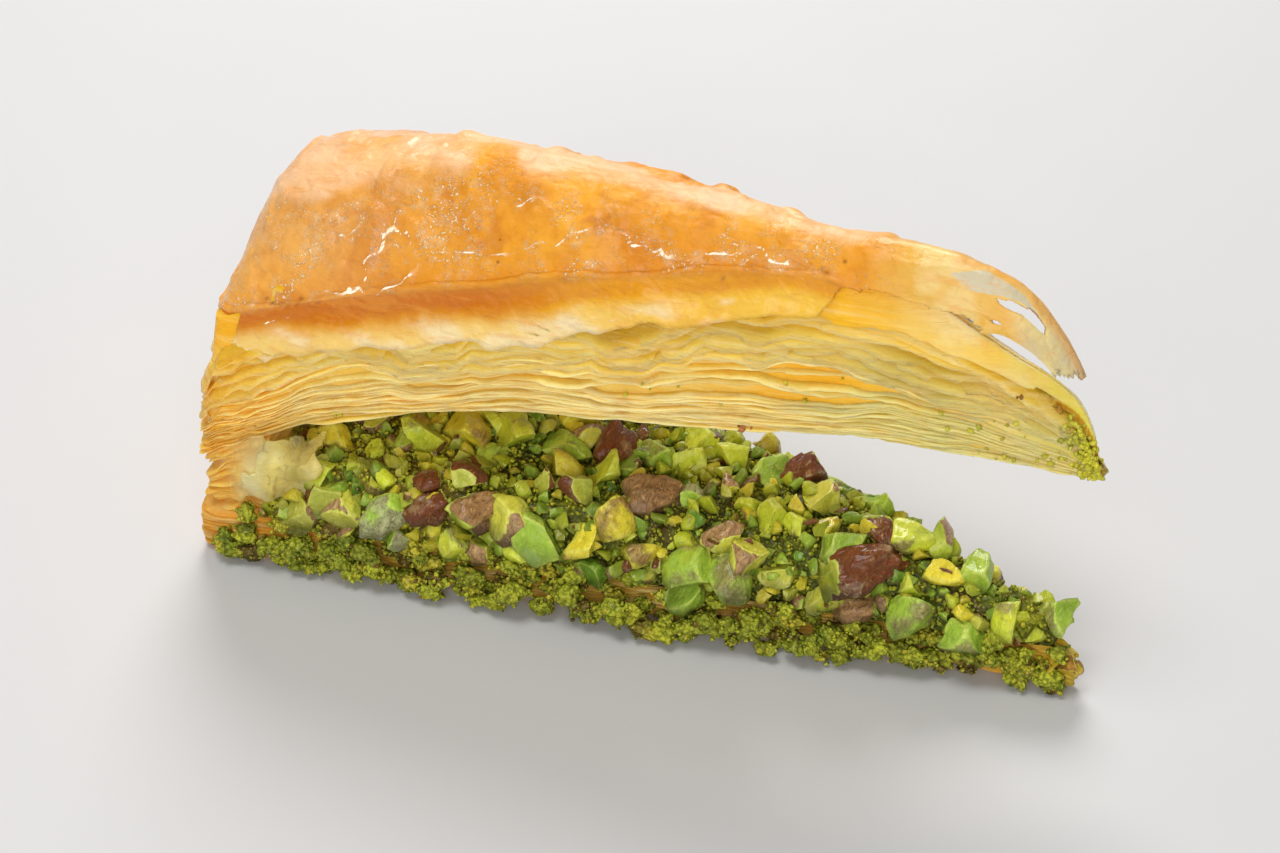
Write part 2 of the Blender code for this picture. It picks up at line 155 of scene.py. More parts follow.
class LayerSettings(bpy.types.PropertyGroup):
    """Filo sheets that show at the cut faces."""

    fine_sheets: count_field("Fine sheets", "Thin sheets low in the stack", 18, 4, 26)
    broad_sheets: count_field("Broad sheets", "Wavy sheets in the middle", 7, 3, 16)
    hanging_sheets: count_field("Hanging sheets", "Drooping sheets under the crust", 7, 2, 12)
    sheet_thickness: length_field("Sheet thickness", "Thickness of one baked sheet", 0.26, 0.1, 1.0)
    cream: colour_field("Cream", "Broad buttery sheets", (1.0, 0.70, 0.10))
    # Honey also colours each sheet inwards from its edge: partly syrup soak, partly painted shade in the
    # recesses.
    honey: colour_field("Honey", "Syrup-soaked recesses", (0.90, 0.48, 0.012))


class FillingSettings(bpy.types.PropertyGroup):
    """Chopped pistachio."""

    kernels: count_field("Kernels", "Chopped kernels", 115, 20, 120)
    bits: count_field("Bits", "Small angular bits", 900, 50, 2000)
    grains: count_field("Grains", "Ground nut between the kernels", 8000, 500, 9000)


class BaseSettings(bpy.types.PropertyGroup):
    """Syrup-soaked base pastry."""

    sheets: count_field("Base sheets", "Pressed sheets in the base", 13, 4, 20)
    brown: colour_field("Browned base", "Caramelised edge at the rim", (0.42, 0.16, 0.02))
    amber: colour_field("Amber", "Soaked pastry at the tip", (0.50, 0.33, 0.02))


# Noise and easing on arrays.

def ease(value, low, high):
    """Ease from 0 at low to 1 at high."""
    share = np.clip((value - low) / (high - low), 0.0, 1.0)
    return share * share * (3 - 2 * share)


def mix(low, high, share):
    return low + (high - low) * share


def blend_colours(first, second, share):
    """Colours between two, for an array of shares."""
    return mix(np.asarray(first, float), np.asarray(second, float), np.asarray(share)[..., None])


def paint(tint, *coats):
    """Lay colours over an array of colours, each with its share."""
    for colour, share in coats:
        tint = mix(tint, np.asarray(colour, float), np.asarray(share)[:, None])
    return tint


def chance_of(noise, middle=0.5, swing=0.5):
    """Turn noise into a share between 0 and 1."""
    return np.clip(middle + swing * noise, 0, 1)


def bumps(points, scale, seed):
    """Smooth noise between about -1 and 1, with bumps as wide as the scale."""
    cells = np.asarray(points, float) / scale
    corner = np.floor(cells).astype(np.int64)
    part = cells - corner
    soft = part ** 3 * (part * (part * 6 - 15) + 10)
    total = np.zeros(len(cells))
    for steps in product((0, 1), repeat=3):
        key = (corner[:, 0] + steps[0]) * 73856093
        key = key ^ ((corner[:, 1] + steps[1]) * 19349663)
        key = key ^ ((corner[:, 2] + steps[2]) * 83492791)
        key = key ^ (seed * 971 + 12345)
        key = (key * 1274126177) & 0xFFFFFFFF
        key = ((key ^ (key >> 15)) * 2246822519) & 0xFFFFFFFF
        key = key ^ (key >> 13)
        weight = np.ones(len(cells))
        for axis, step in enumerate(steps):
            weight = weight * (soft[:, axis] if step else 1 - soft[:, axis])
        total += weight * ((key & 0xFFFF) / 32767.5 - 1)
    return total * 1.5


def rough(points, scale, seed, octaves=3):
    """Noise with finer and finer detail."""
    total = np.zeros(len(points))
    for octave in range(octaves):
        total += bumps(points, scale / 2 ** octave, seed + 31 * octave) * 0.5 ** octave
    return total


def spots(*columns):
    """Stack columns of numbers, or single numbers, into rows."""
    return np.stack(np.broadcast_arrays(*[np.asarray(column, float) for column in columns]), axis=1)


def wobble(points, scale, seed):
    """Two columns of noise, to push pixels sideways and up."""
    return spots(bumps(points, scale, seed), bumps(points, scale, seed + 1))


# Shape of the slice, from the same values as its solids.

def station_of(x, y):
    """Distance from the rim towards the tip."""
    return SLICE_LENGTH - np.hypot(x - TIP_X, y)


def half_width(reach, angle, tip_width):
    """Half the width of a wedge with a blunt tip, at a distance from the tip."""
    blunt = 0.0 if tip_width == 0 else tip_width / 2 * (1 - 0.6 * np.exp(-reach / tip_width))
    return reach * math.tan(angle / 2) + blunt


def plan_x(reach, lateral):
    return TIP_X - np.sqrt(np.maximum(reach ** 2 - lateral ** 2, 0.0))


def lid_rise(station):
    return LID_HEEL_HEIGHT + LID_RISE * (1 - np.exp(-np.maximum(station, 0.0) / LID_RISE_LENGTH))


def lid_underside(station):
    return lid_rise(station) + LID_ARCH * ease(station, 85.0, 110.0) * (1 - ease(station, 128.0, 146.0))


def whole_crest(station):
    puff = LID_RIM_PUFF * np.exp(-np.maximum(station, 0.0) / LID_PUFF_LENGTH)
    return lid_rise(station) + LID_THICKNESS + puff - LID_THINNING * station


def lid_crest(station):
    """Height of the top pastry along its middle, cut down past the tear to the block of layers."""
    crust = whole_crest(station)
    past_end = np.maximum(station - BLOCK_END, 0.0) / (SLICE_LENGTH - BLOCK_END)
    block = BLOCK_TOP - BLOCK_SLOPE * (station - TEAR_END) - BLOCK_END_DROP * past_end ** 2
    return mix(crust, np.minimum(crust, block), ease(station, TEAR_START, TEAR_END))


def crust_share(station):
    return mix(CRUST_SHARE_AT_RIM, CRUST_SHARE_AT_TIP, ease(station, *CRUST_SHARE_SPAN))


def dome_rise(x, y):
    """How far the crust has risen at a place in plan: 0 at its edge, 1 along the middle."""
    reach = SLICE_LENGTH - station_of(x, y)
    full_width = half_width(reach, LID_ANGLE, LID_TIP_WIDTH)
    width = full_width - np.minimum(LID_FACE_LEAN, full_width / 2)
    from_side = np.clip(1 - np.abs(y) / width, 0.0, 1.0)
    from_rim = np.clip((SLICE_LENGTH - LID_SETBACK - LID_RIM_LEAN - reach) / LID_HIP, 0.0, 1.0)
    return (1 - (1 - from_side) ** DOME_SIDE_POWER) * (1 - (1 - from_rim) ** DOME_RIM_POWER)


def face_lean(station, level):
    """How far the lid's layered face has leaned in at a share of its height."""
    rim_side = 1 - ease(station, LID_SETBACK, LID_SETBACK + 16.0)
    return mix(LID_FACE_LEAN, LID_RIM_LEAN, rim_side) * level ** 1.3


def filling_crest(station):
    return mix(FILLING_TOP, FILLING_TIP_TOP, ease(station, 100.0, 144.0))


class Outline:
    """Even points round a wedge's plan, and the point of its spine that each one faces."""

    def __init__(self, inner, outer, angle, tip_width, hips, columns, rounding):
        fine = 900
        sides = np.linspace(inner, outer, fine)
        arc = np.linspace(-1, 1, fine // 3)
        end = np.linspace(1, -1, fine // 12)
        reach = np.concatenate([sides, np.full(len(arc), outer), sides[::-1], np.full(len(end), inner)])
        share = np.concatenate([np.full(fine, -1.0), arc, np.full(fine, 1.0), end])
        lateral = share * half_width(reach, angle, tip_width)
        line = spots(plan_x(reach, lateral), lateral, 0.0)
        line = self.even(line, columns * 2)
        for _ in range(rounding):
            drawn = (np.roll(line, 1, 0) + 2 * line + np.roll(line, -1, 0)) / 4
            share = 1 - ease(station_of(line[:, 0], line[:, 1]), 8.0, 16.0)
            line = mix(line, drawn, share[:, None])
        self.edge = self.even(line, columns)
        reach = np.hypot(self.edge[:, 0] - TIP_X, self.edge[:, 1])
        self.spine = spots(TIP_X - np.clip(reach, inner + hips[0], outer - hips[1]), 0.0, 0.0)
        away = self.spine - self.edge
        self.room = np.linalg.norm(away, axis=1)
        self.inward = away / np.maximum(self.room, 1e-6)[:, None]

    @staticmethod
    def even(line, count):
        """Spread points evenly along a closed line."""
        closed = np.vstack([line, line[:1]])
        steps = np.linalg.norm(np.diff(closed, axis=0), axis=1)
        run = np.concatenate([[0.0], np.cumsum(steps)])
        marks = np.linspace(0, run[-1], count, endpoint=False)
        return np.stack([np.interp(marks, run, closed[:, axis]) for axis in range(3)], axis=1)

    def at(self, around):
        """Edge, inward direction and room to the spine for shares of the way round."""
        index = np.round(around * len(self.edge)).astype(int) % len(self.edge)
        return self.edge[index], self.inward[index], self.room[index]


# Camera geometry, so that a detail can be set by the pixel where the photograph shows it.

def view_axes():
    """Camera place and its right, up and forward directions."""
    back = np.array([
        math.sin(VIEW_AZIMUTH) * math.cos(VIEW_ELEVATION),
        -math.cos(VIEW_AZIMUTH) * math.cos(VIEW_ELEVATION),
        math.sin(VIEW_ELEVATION),
    ])
    right = np.array([math.cos(VIEW_AZIMUTH), math.sin(VIEW_AZIMUTH), 0.0])
    return np.array(VIEW_TARGET) + back * VIEW_DISTANCE, right, np.cross(back, right), -back


def seen_at(points):
    """Pixel of the photograph where each point shows."""
    place, right, up, forward = view_axes()
    away = points - place
    scale = PHOTO_SIZE[0] * LENS / SENSOR / (away @ forward)
    return np.stack([PHOTO_SIZE[0] / 2 + away @ right * scale, PHOTO_SIZE[1] / 2 - away @ up * scale], axis=1)


def sight_rays(pixels):
    """Camera place and a ray through each pixel."""
    place, right, up, forward = view_axes()
    focal = PHOTO_SIZE[0] * LENS / SENSOR
    rays = forward + right * ((pixels[:, 0] - PHOTO_SIZE[0] / 2) / focal)[:, None]
    return place, rays + up * ((PHOTO_SIZE[1] / 2 - pixels[:, 1]) / focal)[:, None]


def sight_line(pixel):
    """Camera place and the direction through one pixel."""
    place, rays = sight_rays(np.array([pixel], float))
    return Vector(place), Vector(rays[0]).normalized()


def distance_to_line(pixels, line):
    """Distance in pixels from each place to a chain of points."""
    nearest = np.full(len(pixels), 1e9)
    for start, end in zip(line[:-1], line[1:]):
        start = np.array(start, float)
        run = np.array(end, float) - start
        share = np.clip((pixels - start) @ run / max(run @ run, 1e-9), 0, 1)
        nearest = np.minimum(nearest, np.linalg.norm(pixels - start - share[:, None] * run, axis=1))
    return nearest


def inside_polygon(pixels, corners):
    """Whether each place lies inside a polygon."""
    inside = np.zeros(len(pixels), bool)
    for (x0, y0), (x1, y1) in zip(corners, corners[1:] + corners[:1]):
        crosses = (y0 > pixels[:, 1]) != (y1 > pixels[:, 1])
        reach = (x1 - x0) * (pixels[:, 1] - y0) / (y1 - y0 if y1 != y0 else 1e-9) + x0
        inside ^= crosses & (pixels[:, 0] < reach)
    return inside


# Meshes.

def grids(name, count, across, along):
    """Flat grids in one mesh, with each point's two shares and the number of its grid."""
    shell = bmesh.new()
    for _ in range(count):
        bmesh.ops.create_grid(shell, x_segments=across, y_segments=along, size=1.0)
    mesh = bpy.data.meshes.new(name)
    shell.to_mesh(mesh)
    shell.free()
    flat = read_points(mesh)
    number = np.arange(len(flat)) // ((across + 1) * (along + 1))
    return mesh, (flat[:, 0] + 1) / 2, (flat[:, 1] + 1) / 2, number


def read_points(mesh):
    flat = np.empty(len(mesh.vertices) * 3)
    mesh.vertices.foreach_get("co", flat)
    return flat.reshape(-1, 3)


def write_points(mesh, points):
    """Move a mesh's points, given in millimetres."""
    mesh.vertices.foreach_set("co", (points * MM).astype(np.float32).ravel())
    mesh.update()


def write_attribute(mesh, name, values):
    """Store a number or a colour for every point."""
    values = np.asarray(values, np.float32)
    if values.ndim == 1:
        layer = mesh.attributes.new(name, "FLOAT", "POINT")
        layer.data.foreach_set("value", values)
        return
    layer = mesh.attributes.new(name, "FLOAT_COLOR", "POINT")
    colours = np.concatenate([np.clip(values, 0, 1), np.ones((len(values), 1), np.float32)], axis=1)
    layer.data.foreach_set("color", colours.astype(np.float32).ravel())


def weld(mesh):
    """Close a mesh's seams and point its faces outwards."""
    shell = bmesh.new()
    shell.from_mesh(mesh)
    bmesh.ops.remove_doubles(shell, verts=shell.verts, dist=1e-6)
    bmesh.ops.dissolve_degenerate(shell, edges=shell.edges, dist=1e-6)
    bmesh.ops.recalc_face_normals(shell, faces=shell.faces)
    shell.to_mesh(mesh)
    shell.free()


def make_piece(name, mesh, material, replaced=(), sharp=None):
    """Finished piece of the slice, riding with its solids."""
    mesh.materials.clear()
    mesh.materials.append(material)
    mesh.shade_smooth()
    if sharp is not None:
        mesh.set_sharp_from_angle(angle=sharp)
    piece = bpy.data.objects.new(name, mesh)
    bpy.context.scene.collection.objects.link(piece)
    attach(piece, "root")
    if replaced:
        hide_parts(*replaced)
    return piece


# Shader expressions.

class Wire:
    """A node's output that can stand in a Python expression."""

    def __init__(self, finish, socket):
        self.finish = finish
        self.socket = socket

    def maths(self, operation, *others):
        return self.finish.node("ShaderNodeMath", {"operation": operation}, {
            place: value for place, value in enumerate((self,) + others)
        })

    def __add__(self, other):
        return self.maths("ADD", other)

    __radd__ = __add__

    def __sub__(self, other):
        return self.maths("SUBTRACT", other)

    def __rsub__(self, other):
        return (self * -1) + other

    def __mul__(self, other):
        return self.maths("MULTIPLY", other)

    __rmul__ = __mul__

    def ramp(self, low, high):
        """Share of the way from low to high, kept between 0 and 1 and eased."""
        return self.finish.node("ShaderNodeMapRange", {"interpolation_type": "SMOOTHSTEP"}, {
            "Value": self, "From Min": low, "From Max": high, "To Min": 0.0, "To Max": 1.0
        })


class Finish:
    """A material and its nodes."""

    def __init__(self, name):
        self.material = bpy.data.materials.new(name)
        self.material.use_nodes = True
        self.tree = self.material.node_tree
        self.surface = self.tree.nodes["Principled BSDF"]
        self.place = self.node("ShaderNodeTexCoord", {}, {}, output="Object")

    def node(self, kind, settings, sockets, output=0):
        """Add a node with its settings, then fill its sockets with values or wires."""
        node = self.tree.nodes.new(kind)
        for name, value in settings.items():
            setattr(node, name, value)
        for name, value in sockets.items():
            self.fill(node.inputs[name], value)
        return Wire(self, node.outputs[output])

    def fill(self, socket, value):
        if isinstance(value, Wire):
            self.tree.links.new(value.socket, socket)
        else:
            socket.default_value = value

    def attribute(self, name, output="Fac"):
        return self.node("ShaderNodeAttribute", {"attribute_name": name}, {}, output=output)

    def noise(self, scale, detail=2.0, roughness=0.5, place=None, distortion=0.0):
        """Noise on object coordinates, between 0 and 1, with so many bumps to the metre."""
        return self.node("ShaderNodeTexNoise", {}, {
            "Vector": place or self.place, "Scale": scale, "Detail": detail, "Roughness": roughness,
            "Distortion": distortion,
        })

    def stretched(self, x, y, z):
        """Object coordinates scaled along each axis."""
        return self.node("ShaderNodeMapping", {}, {"Vector": self.place, "Scale": (x, y, z)})

    def cells(self, scale, feature="F1", place=None):
        """Distance to the nearest cell's middle, or to its edge."""
        sockets = {"Vector": place or self.place, "Scale": scale}
        return self.node("ShaderNodeTexVoronoi", {"feature": feature}, sockets, output="Distance")

    def colours(self, share, first, second):
        """Mix two colours, each a wire or a value."""
        node = self.tree.nodes.new("ShaderNodeMix")
        node.data_type = "RGBA"
        for index, value in ((0, share), (6, first), (7, second)):
            if not isinstance(value, Wire) and index:
                value = (*value, 1.0)
            self.fill(node.inputs[index], value)
        return Wire(self, node.outputs[2])

    def bump(self, height, distance, strength):
        return self.node("ShaderNodeBump", {}, {"Height": height, "Distance": distance, "Strength": strength})

    def set(self, **sockets):
        """Fill the surface shader's sockets, written with underscores for spaces."""
        for name, value in sockets.items():
            self.fill(self.surface.inputs[name.replace("_", " ").title().replace("Ior", "IOR")], value)


def crust_finish():
    """Glazed golden crust with mottles, burnt dots and fine crackle, and painted highlights along its syrup
    lines and froth specks that also glow by emission.
    """
    finish = Finish("glazed_crust")
    tint = finish.attribute("tint", "Color")
    syrup = finish.attribute("syrup")
    mottle = finish.noise(95, 4, 0.62)
    fine = finish.noise(520, 3, 0.6)
    froth_glint = finish.attribute("froth_glint")
    baked = 1 - finish.attribute("pale") * 0.8
    browned = finish.colours(mottle.ramp(0.44, 0.66) * 0.46 * baked, tint, CRUST_MOTTLE)
    browned = finish.colours(fine.ramp(0.5, 0.76) * 0.3 * baked, browned, CRUST_MOTTLE)
    # Painted highlight: pale glint specks over the froth.
    glint_specks = finish.noise(2300, 2, 0.6).ramp(0.56, 0.63) * froth_glint
    browned = finish.colours(glint_specks * 0.6, browned, CRUST_GLINT)
    strand = finish.attribute("strand") + finish.noise(420, 3, 0.7) * 5.0 - 2.5
    # Painted highlight: near-white threads along the syrup lines.
    highlight_thread = (1 - strand.ramp(0.2, 1.4)) * finish.noise(210, 2).ramp(0.34, 0.52)
    browned = finish.colours(highlight_thread, browned, CRUST_THREAD_HIGHLIGHT)
    cracks = finish.noise(1.0, 4, 0.68, place=finish.stretched(110, 420, 420), distortion=0.5)
    browned = finish.colours(cracks.ramp(0.5, 0.66) * 0.38, browned, CRUST_CRACK)
    dots = finish.cells(300)
    burnt = (1 - dots.ramp(0.06, 0.13)) * finish.noise(60, 1).ramp(0.6, 0.7) * baked
    colour = finish.colours(burnt * 0.6, browned, CRUST_BURNT)
    crackle = finish.cells(330, "DISTANCE_TO_EDGE", place=finish.stretched(1.0, 1.5, 1.0))
    height = crackle.ramp(0.0, 0.25) * 0.3 + finish.noise(700, 3, 0.6) * 0.7 + mottle * 1.2 + glint_specks * 0.8
    height = height + highlight_thread * 0.5 + cracks * 1.4
    # Painted highlights: the syrup-line threads and the froth specks also glow by emission, with no lamp.
    glints = (highlight_thread + glint_specks * 0.5).ramp(0.1, 1.0)
    finish.set(
        base_color=colour, roughness=0.42 - syrup * 0.2 + fine * 0.1, coat_weight=0.06 + syrup * 0.5,
        coat_roughness=0.05, coat_ior=1.4, specular_ior_level=0.22,
        subsurface_weight=0.08, subsurface_scale=0.002, subsurface_radius=(1.0, 0.45, 0.15),
        normal=finish.bump(height, 0.0003, 0.9),
        emission_color=finish.colours(glints, (0.0, 0.0, 0.0), CRUST_THREAD_HIGHLIGHT), emission_strength=0.35
    )
    return finish.material


def filo_finish(name, gloss, grain, veiled=False):
    """Thin baked sheets: buttery, slightly translucent, with fine streaks, and a faint glow of their own
    colour, a painted light standing in for light shining through the sheets.
    """
    finish = Finish(name)
    tint = finish.attribute("tint", "Color")
    streaks = finish.noise(60, 4, 0.65, place=finish.stretched(1.0, 1.0, 14.0))
    mottle = finish.noise(170, 3, 0.6)
    shade = finish.colours(mottle.ramp(0.42, 0.7) * 0.32, tint, FILO_TOAST)
    shade = finish.colours(streaks.ramp(0.48, 0.74) * 0.4, shade, FILO_PALE)
    leaves = finish.noise(1.0, 3, 0.65, place=finish.stretched(70, 70, 1500))
    height = finish.noise(grain, 3, 0.6) + mottle * 0.8 + leaves * 1.6
    shade = finish.colours(leaves.ramp(0.42, 0.2) * 0.3, shade, FILO_TOAST)
    wrinkles = finish.noise(1.0, 3, 0.6, place=finish.stretched(420, 420, 900), distortion=0.6)
    height = height + wrinkles * 1.7
    wet = finish.noise(85, 2).ramp(0.42, 0.6)
    finish.set(
        base_color=shade, roughness=mix(0.5, 0.3, gloss) + mottle * 0.14, coat_weight=wet * gloss * 0.4,
        coat_roughness=0.06, specular_ior_level=0.15, subsurface_weight=0.4, subsurface_scale=0.003,
        subsurface_radius=(1.0, 0.6, 0.2), normal=finish.bump(height, 0.0003, 0.8),
        # Painted light: the sheets glow faintly in their own colour.
        emission_color=shade, emission_strength=0.1
    )
    if veiled:
        finish.set(alpha=finish.attribute("veil") * 1.0)
    return finish.material


def nut_finish(name, gloss, grain, crumbly=False):
    """Nut flesh that runs from yellow to deep green, with patches of papery and purple-brown skin."""
    finish = Finish(name)
    flesh = finish.attribute("tint", "Color")
    skin_tint = finish.attribute("skin_tint", "Color")
    skin = finish.attribute("skin")
    patches = finish.noise(190, 3, 0.55)
    flesh = finish.colours(patches.ramp(0.52, 0.72) * 0.55, flesh, NUT_DEEP)
    flesh = finish.colours(finish.noise(130, 2).ramp(0.55, 0.75) * 0.4, flesh, NUT_YELLOW)
    paper = finish.noise(260, 3, 0.6, distortion=0.6)
    skin_tint = finish.colours(paper.ramp(0.54, 0.68) * 0.35, skin_tint, NUT_PAPER)
    folds = finish.noise(1.0, 4, 0.7, place=finish.stretched(900, 320, 620), distortion=1.6)
    skin_tint = finish.colours((1 - folds.ramp(0.36, 0.52)) * 0.65, skin_tint, NUT_DARK)
    skin_tint = finish.colours(folds.ramp(0.58, 0.7) * 0.4, skin_tint, NUT_PAPER)
    flesh = finish.colours(folds.ramp(0.52, 0.72) * 0.35, flesh, NUT_PALE_AND_HIGHLIGHT)
    flesh = finish.colours((1 - folds.ramp(0.3, 0.46)) * 0.35, flesh, NUT_DEEP)
    covered = (skin * 1.3 + patches - 0.75).ramp(0.0, 0.22)
    shade = finish.colours(covered, flesh, skin_tint)
    fine = finish.noise(grain, 3, 0.65)
    shade = finish.colours(fine.ramp(0.5, 0.8) * 0.35, shade, NUT_DEEP)
    if crumbly:
        # Painted shade in the gaps between the grains drawn by the cells, and a painted highlight on their
        # middles.
        cells = finish.cells(CRUMBS_PER_METRE)
        shade = finish.colours(cells.ramp(0.48, 0.75) * 0.6, shade, CRUMB_GAP_SHADE)
        shade = finish.colours((1 - cells.ramp(0.05, 0.4)) * 0.3, shade, NUT_PALE_AND_HIGHLIGHT)
        fine = fine - cells * 4.0
    height = fine + patches * 1.4 + folds.ramp(0.3, 0.7) * (covered * 1.9 + 0.6)
    finish.set(
        base_color=shade, roughness=mix(0.6, 0.34, gloss) + patches * 0.12, coat_weight=gloss * 0.4,
        coat_roughness=0.1, specular_ior_level=0.22, subsurface_weight=0.1, subsurface_scale=0.0015,
        subsurface_radius=(0.7, 1.0, 0.2), normal=finish.bump(height, 0.0003, 0.8)
    )
    return finish.material


CRUST_MOTTLE = (0.60, 0.17, 0.008)
# Painted highlight colours: glints on the froth specks, and threads along the syrup lines.
CRUST_GLINT = (1.0, 0.84, 0.56)
CRUST_THREAD_HIGHLIGHT = (1.0, 0.90, 0.70)
CRUST_CRACK = (0.80, 0.33, 0.045)
CRUST_BURNT = (0.10, 0.03, 0.008)
FILO_TOAST = (0.80, 0.42, 0.04)
FILO_PALE = (0.98, 0.80, 0.34)
NUT_DEEP = (0.13, 0.22, 0.01)
NUT_YELLOW = (0.72, 0.66, 0.03)
# Pale nut colour: for pale streaks in the flesh, and as a painted highlight on cut edges and on the grains'
# middles.
NUT_PALE_AND_HIGHLIGHT = (0.82, 0.84, 0.20)
# Painted shade in the gaps between grains.
CRUMB_GAP_SHADE = (0.07, 0.08, 0.006)
CRUMBS_PER_METRE = 1250
NUT_PAPER = (0.80, 0.62, 0.32)
NUT_DARK = (0.14, 0.05, 0.02)


# Crust with its torn tongue.

CRUST_GRID = (318, 150)

# Places in the photograph, in its pixels: holes of the tongue, lines of syrup that carry painted highlights,
# the edge of the crest's pale part with its painted sheen, and burnt parts.
SLIT = [
    (998, 299), (1008, 303), (1022, 307), (1035, 313), (1043, 321), (1046, 331), (1038, 330), (1026, 319),
    (1012, 311), (1002, 305),
]
GAP_BELOW_FINGER = [
    (846, 288), (880, 293), (905, 301), (931, 311), (955, 315), (966, 321), (981, 333), (995, 343),
    (1000, 344), (1003, 339), (1001, 332), (993, 323), (991, 319), (997, 324), (1012, 340), (1020, 346),
    (1029, 359), (1035, 361), (1043, 361), (1054, 375), (1058, 377), (1070, 383), (1092, 379), (1125, 420),
    (1100, 500), (760, 500), (790, 345),
]
TORN_SMOOTHINGS = 2
TORN_FROM = 84.0
SYRUP_WAVE = [
    (435, 252), (452, 249), (468, 252), (490, 258), (514, 256), (532, 250), (550, 248), (573, 242),
    (590, 236), (609, 233), (622, 240), (632, 247), (648, 250), (662, 251), (680, 258), (698, 261),
]
SYRUP_RINGS = [
    [(706, 258), (722, 256), (742, 253), (764, 256), (784, 260)],
    [(262, 330), (270, 322), (280, 317), (292, 314)],
    [(600, 328), (608, 334)], [(612, 330), (626, 331), (636, 335)], [(614, 322), (624, 318)],
    [(492, 204), (500, 196), (514, 196), (524, 203), (534, 200), (548, 206)],
    [(326, 288), (340, 295), (358, 290), (372, 296), (388, 294), (402, 288), (415, 280), (420, 268)],
    [(365, 285), (372, 262), (384, 250), (380, 236), (390, 226), (404, 232), (410, 246), (402, 258)],
    [(392, 222), (398, 215), (410, 218), (418, 230), (420, 246)],
    [(317, 252), (326, 240), (338, 236), (350, 240), (362, 232), (366, 220)],
]
SHEEN_EDGE = [
    (300, 205), (333, 196), (382, 182), (415, 189), (458, 179), (481, 153), (501, 146), (527, 179),
    (580, 179), (612, 182), (645, 191), (700, 207), (760, 224), (830, 238), (900, 250), (960, 262),
]
BURNT_SPOTS = [
    (266, 297), (272, 300), (280, 301), (288, 304), (297, 303), (309, 304), (318, 302), (822, 269),
    (828, 272), (722, 278), (845, 262), (300, 296),
]
TONGUE_CREST = [(960, 256), (1000, 270), (1025, 285), (1048, 310), (1068, 342), (1088, 376)]
TONGUE_WINDOW = [
    (950, 273), (985, 270), (1008, 283), (1028, 300), (1040, 318), (1022, 304), (998, 297), (970, 291),
]


def crust_place(along, across):
    """Points of the crust sheet: along from the rim to the end of the tongue, across from front to back."""
    rim_edge = LID_SETBACK + LID_RIM_LEAN - 0.6
    over_rim = np.clip((RIM_ROLL - along) / RIM_ROLL, 0, 1)
    over_side = np.clip((np.abs(across) - (1 - SIDE_ROLL)) / SIDE_ROLL, 0, 1)
    length = np.clip((along - RIM_ROLL) / (1 - RIM_ROLL), 0, 1)
    side = np.sign(across) * np.clip(np.abs(across) / (1 - SIDE_ROLL), 0, 1)
    side = mix(np.sin(side * math.pi / 2), side, 0.45)
    station = mix(rim_edge, TONGUE_END, mix(length, length ** 2, 0.35))
    reach = SLICE_LENGTH - station
    full = half_width(reach, LID_ANGLE, LID_TIP_WIDTH)
    freed = ease(station, TONGUE_START, TEAR_START + 12)
    corner = np.clip(1 - (station - rim_edge) / 7.0, 0, 1)
    cut = 5.5 * (1 - np.sqrt(np.maximum(1 - corner ** 2, 0)))
    width = full - mix(np.minimum(LID_FACE_LEAN - 0.6, full / 2), 0.0, freed) - cut
    y = side * width
    x = plan_x(reach, y)
    low = lid_underside(station)
    rise = mix(crust_share(station), 1.0, dome_rise(x, y))
    on_crust = low + (whole_crest(station) - low) * rise
    bend = np.maximum((station - TONGUE_BEND) / (TONGUE_END - TONGUE_BEND), 0)
    fall = TONGUE_FRONT_DROP * (1 - 0.4 * bend) * np.abs(side) ** 1.7
    root = ease(station, 112.0, 119.0) * (1 - ease(station, 124.0, 132.0))
    hem = 2.6 * root * np.clip(-side, 0, 1) ** 4
    torn = TONGUE_HEIGHT - TONGUE_DROOP * bend ** 3.2 - fall - hem
    z = mix(on_crust, torn, freed)
    turn = np.maximum(over_rim, over_side * (1 - freed))
    outward = spots(-over_rim, np.sign(across) * over_side, 0.0)
    outward /= np.maximum(np.linalg.norm(outward, axis=1), 1e-6)[:, None]
    out, down = crust_edge(station, turn, spots(x, y, 0.0))
    points = spots(x, y, z) + outward * out[:, None]
    points[:, 2] -= down
    return points, station, side, freed, turn, outward


def crust_edge(station, turn, plan):
    """How far out and down the crust's edge has run, over its ridge and down the cut face."""
    marks, ridge_out, ridge_down = zip(*RIDGE_PATH)
    tall = (whole_crest(station) - lid_underside(station)) * crust_share(station)
    skirt = np.minimum(SKIRT_LENGTH, SKIRT_SHARE * tall)
    skirt = skirt * (1 - 0.35 * ease(station, 66.0, 100.0))
    skirt = skirt * (1 + 0.13 * bumps(plan, 16.0, 27) + 0.07 * bumps(plan, 3.5, 28))
    share = np.clip((turn - marks[-1]) / (1 - marks[-1]), 0, 1)
    down = np.where(share > 0, mix(ridge_down[-1], skirt, share), np.interp(turn, marks, ridge_down))
    level = 1 - down / tall
    stand = np.interp(turn, *zip(*SKIRT_STAND))
    lean = face_lean(station, 1.0) - 0.6 - face_lean(station, level) + stand
    return np.where(share > 0, lean, np.interp(turn, marks, ridge_out)), down


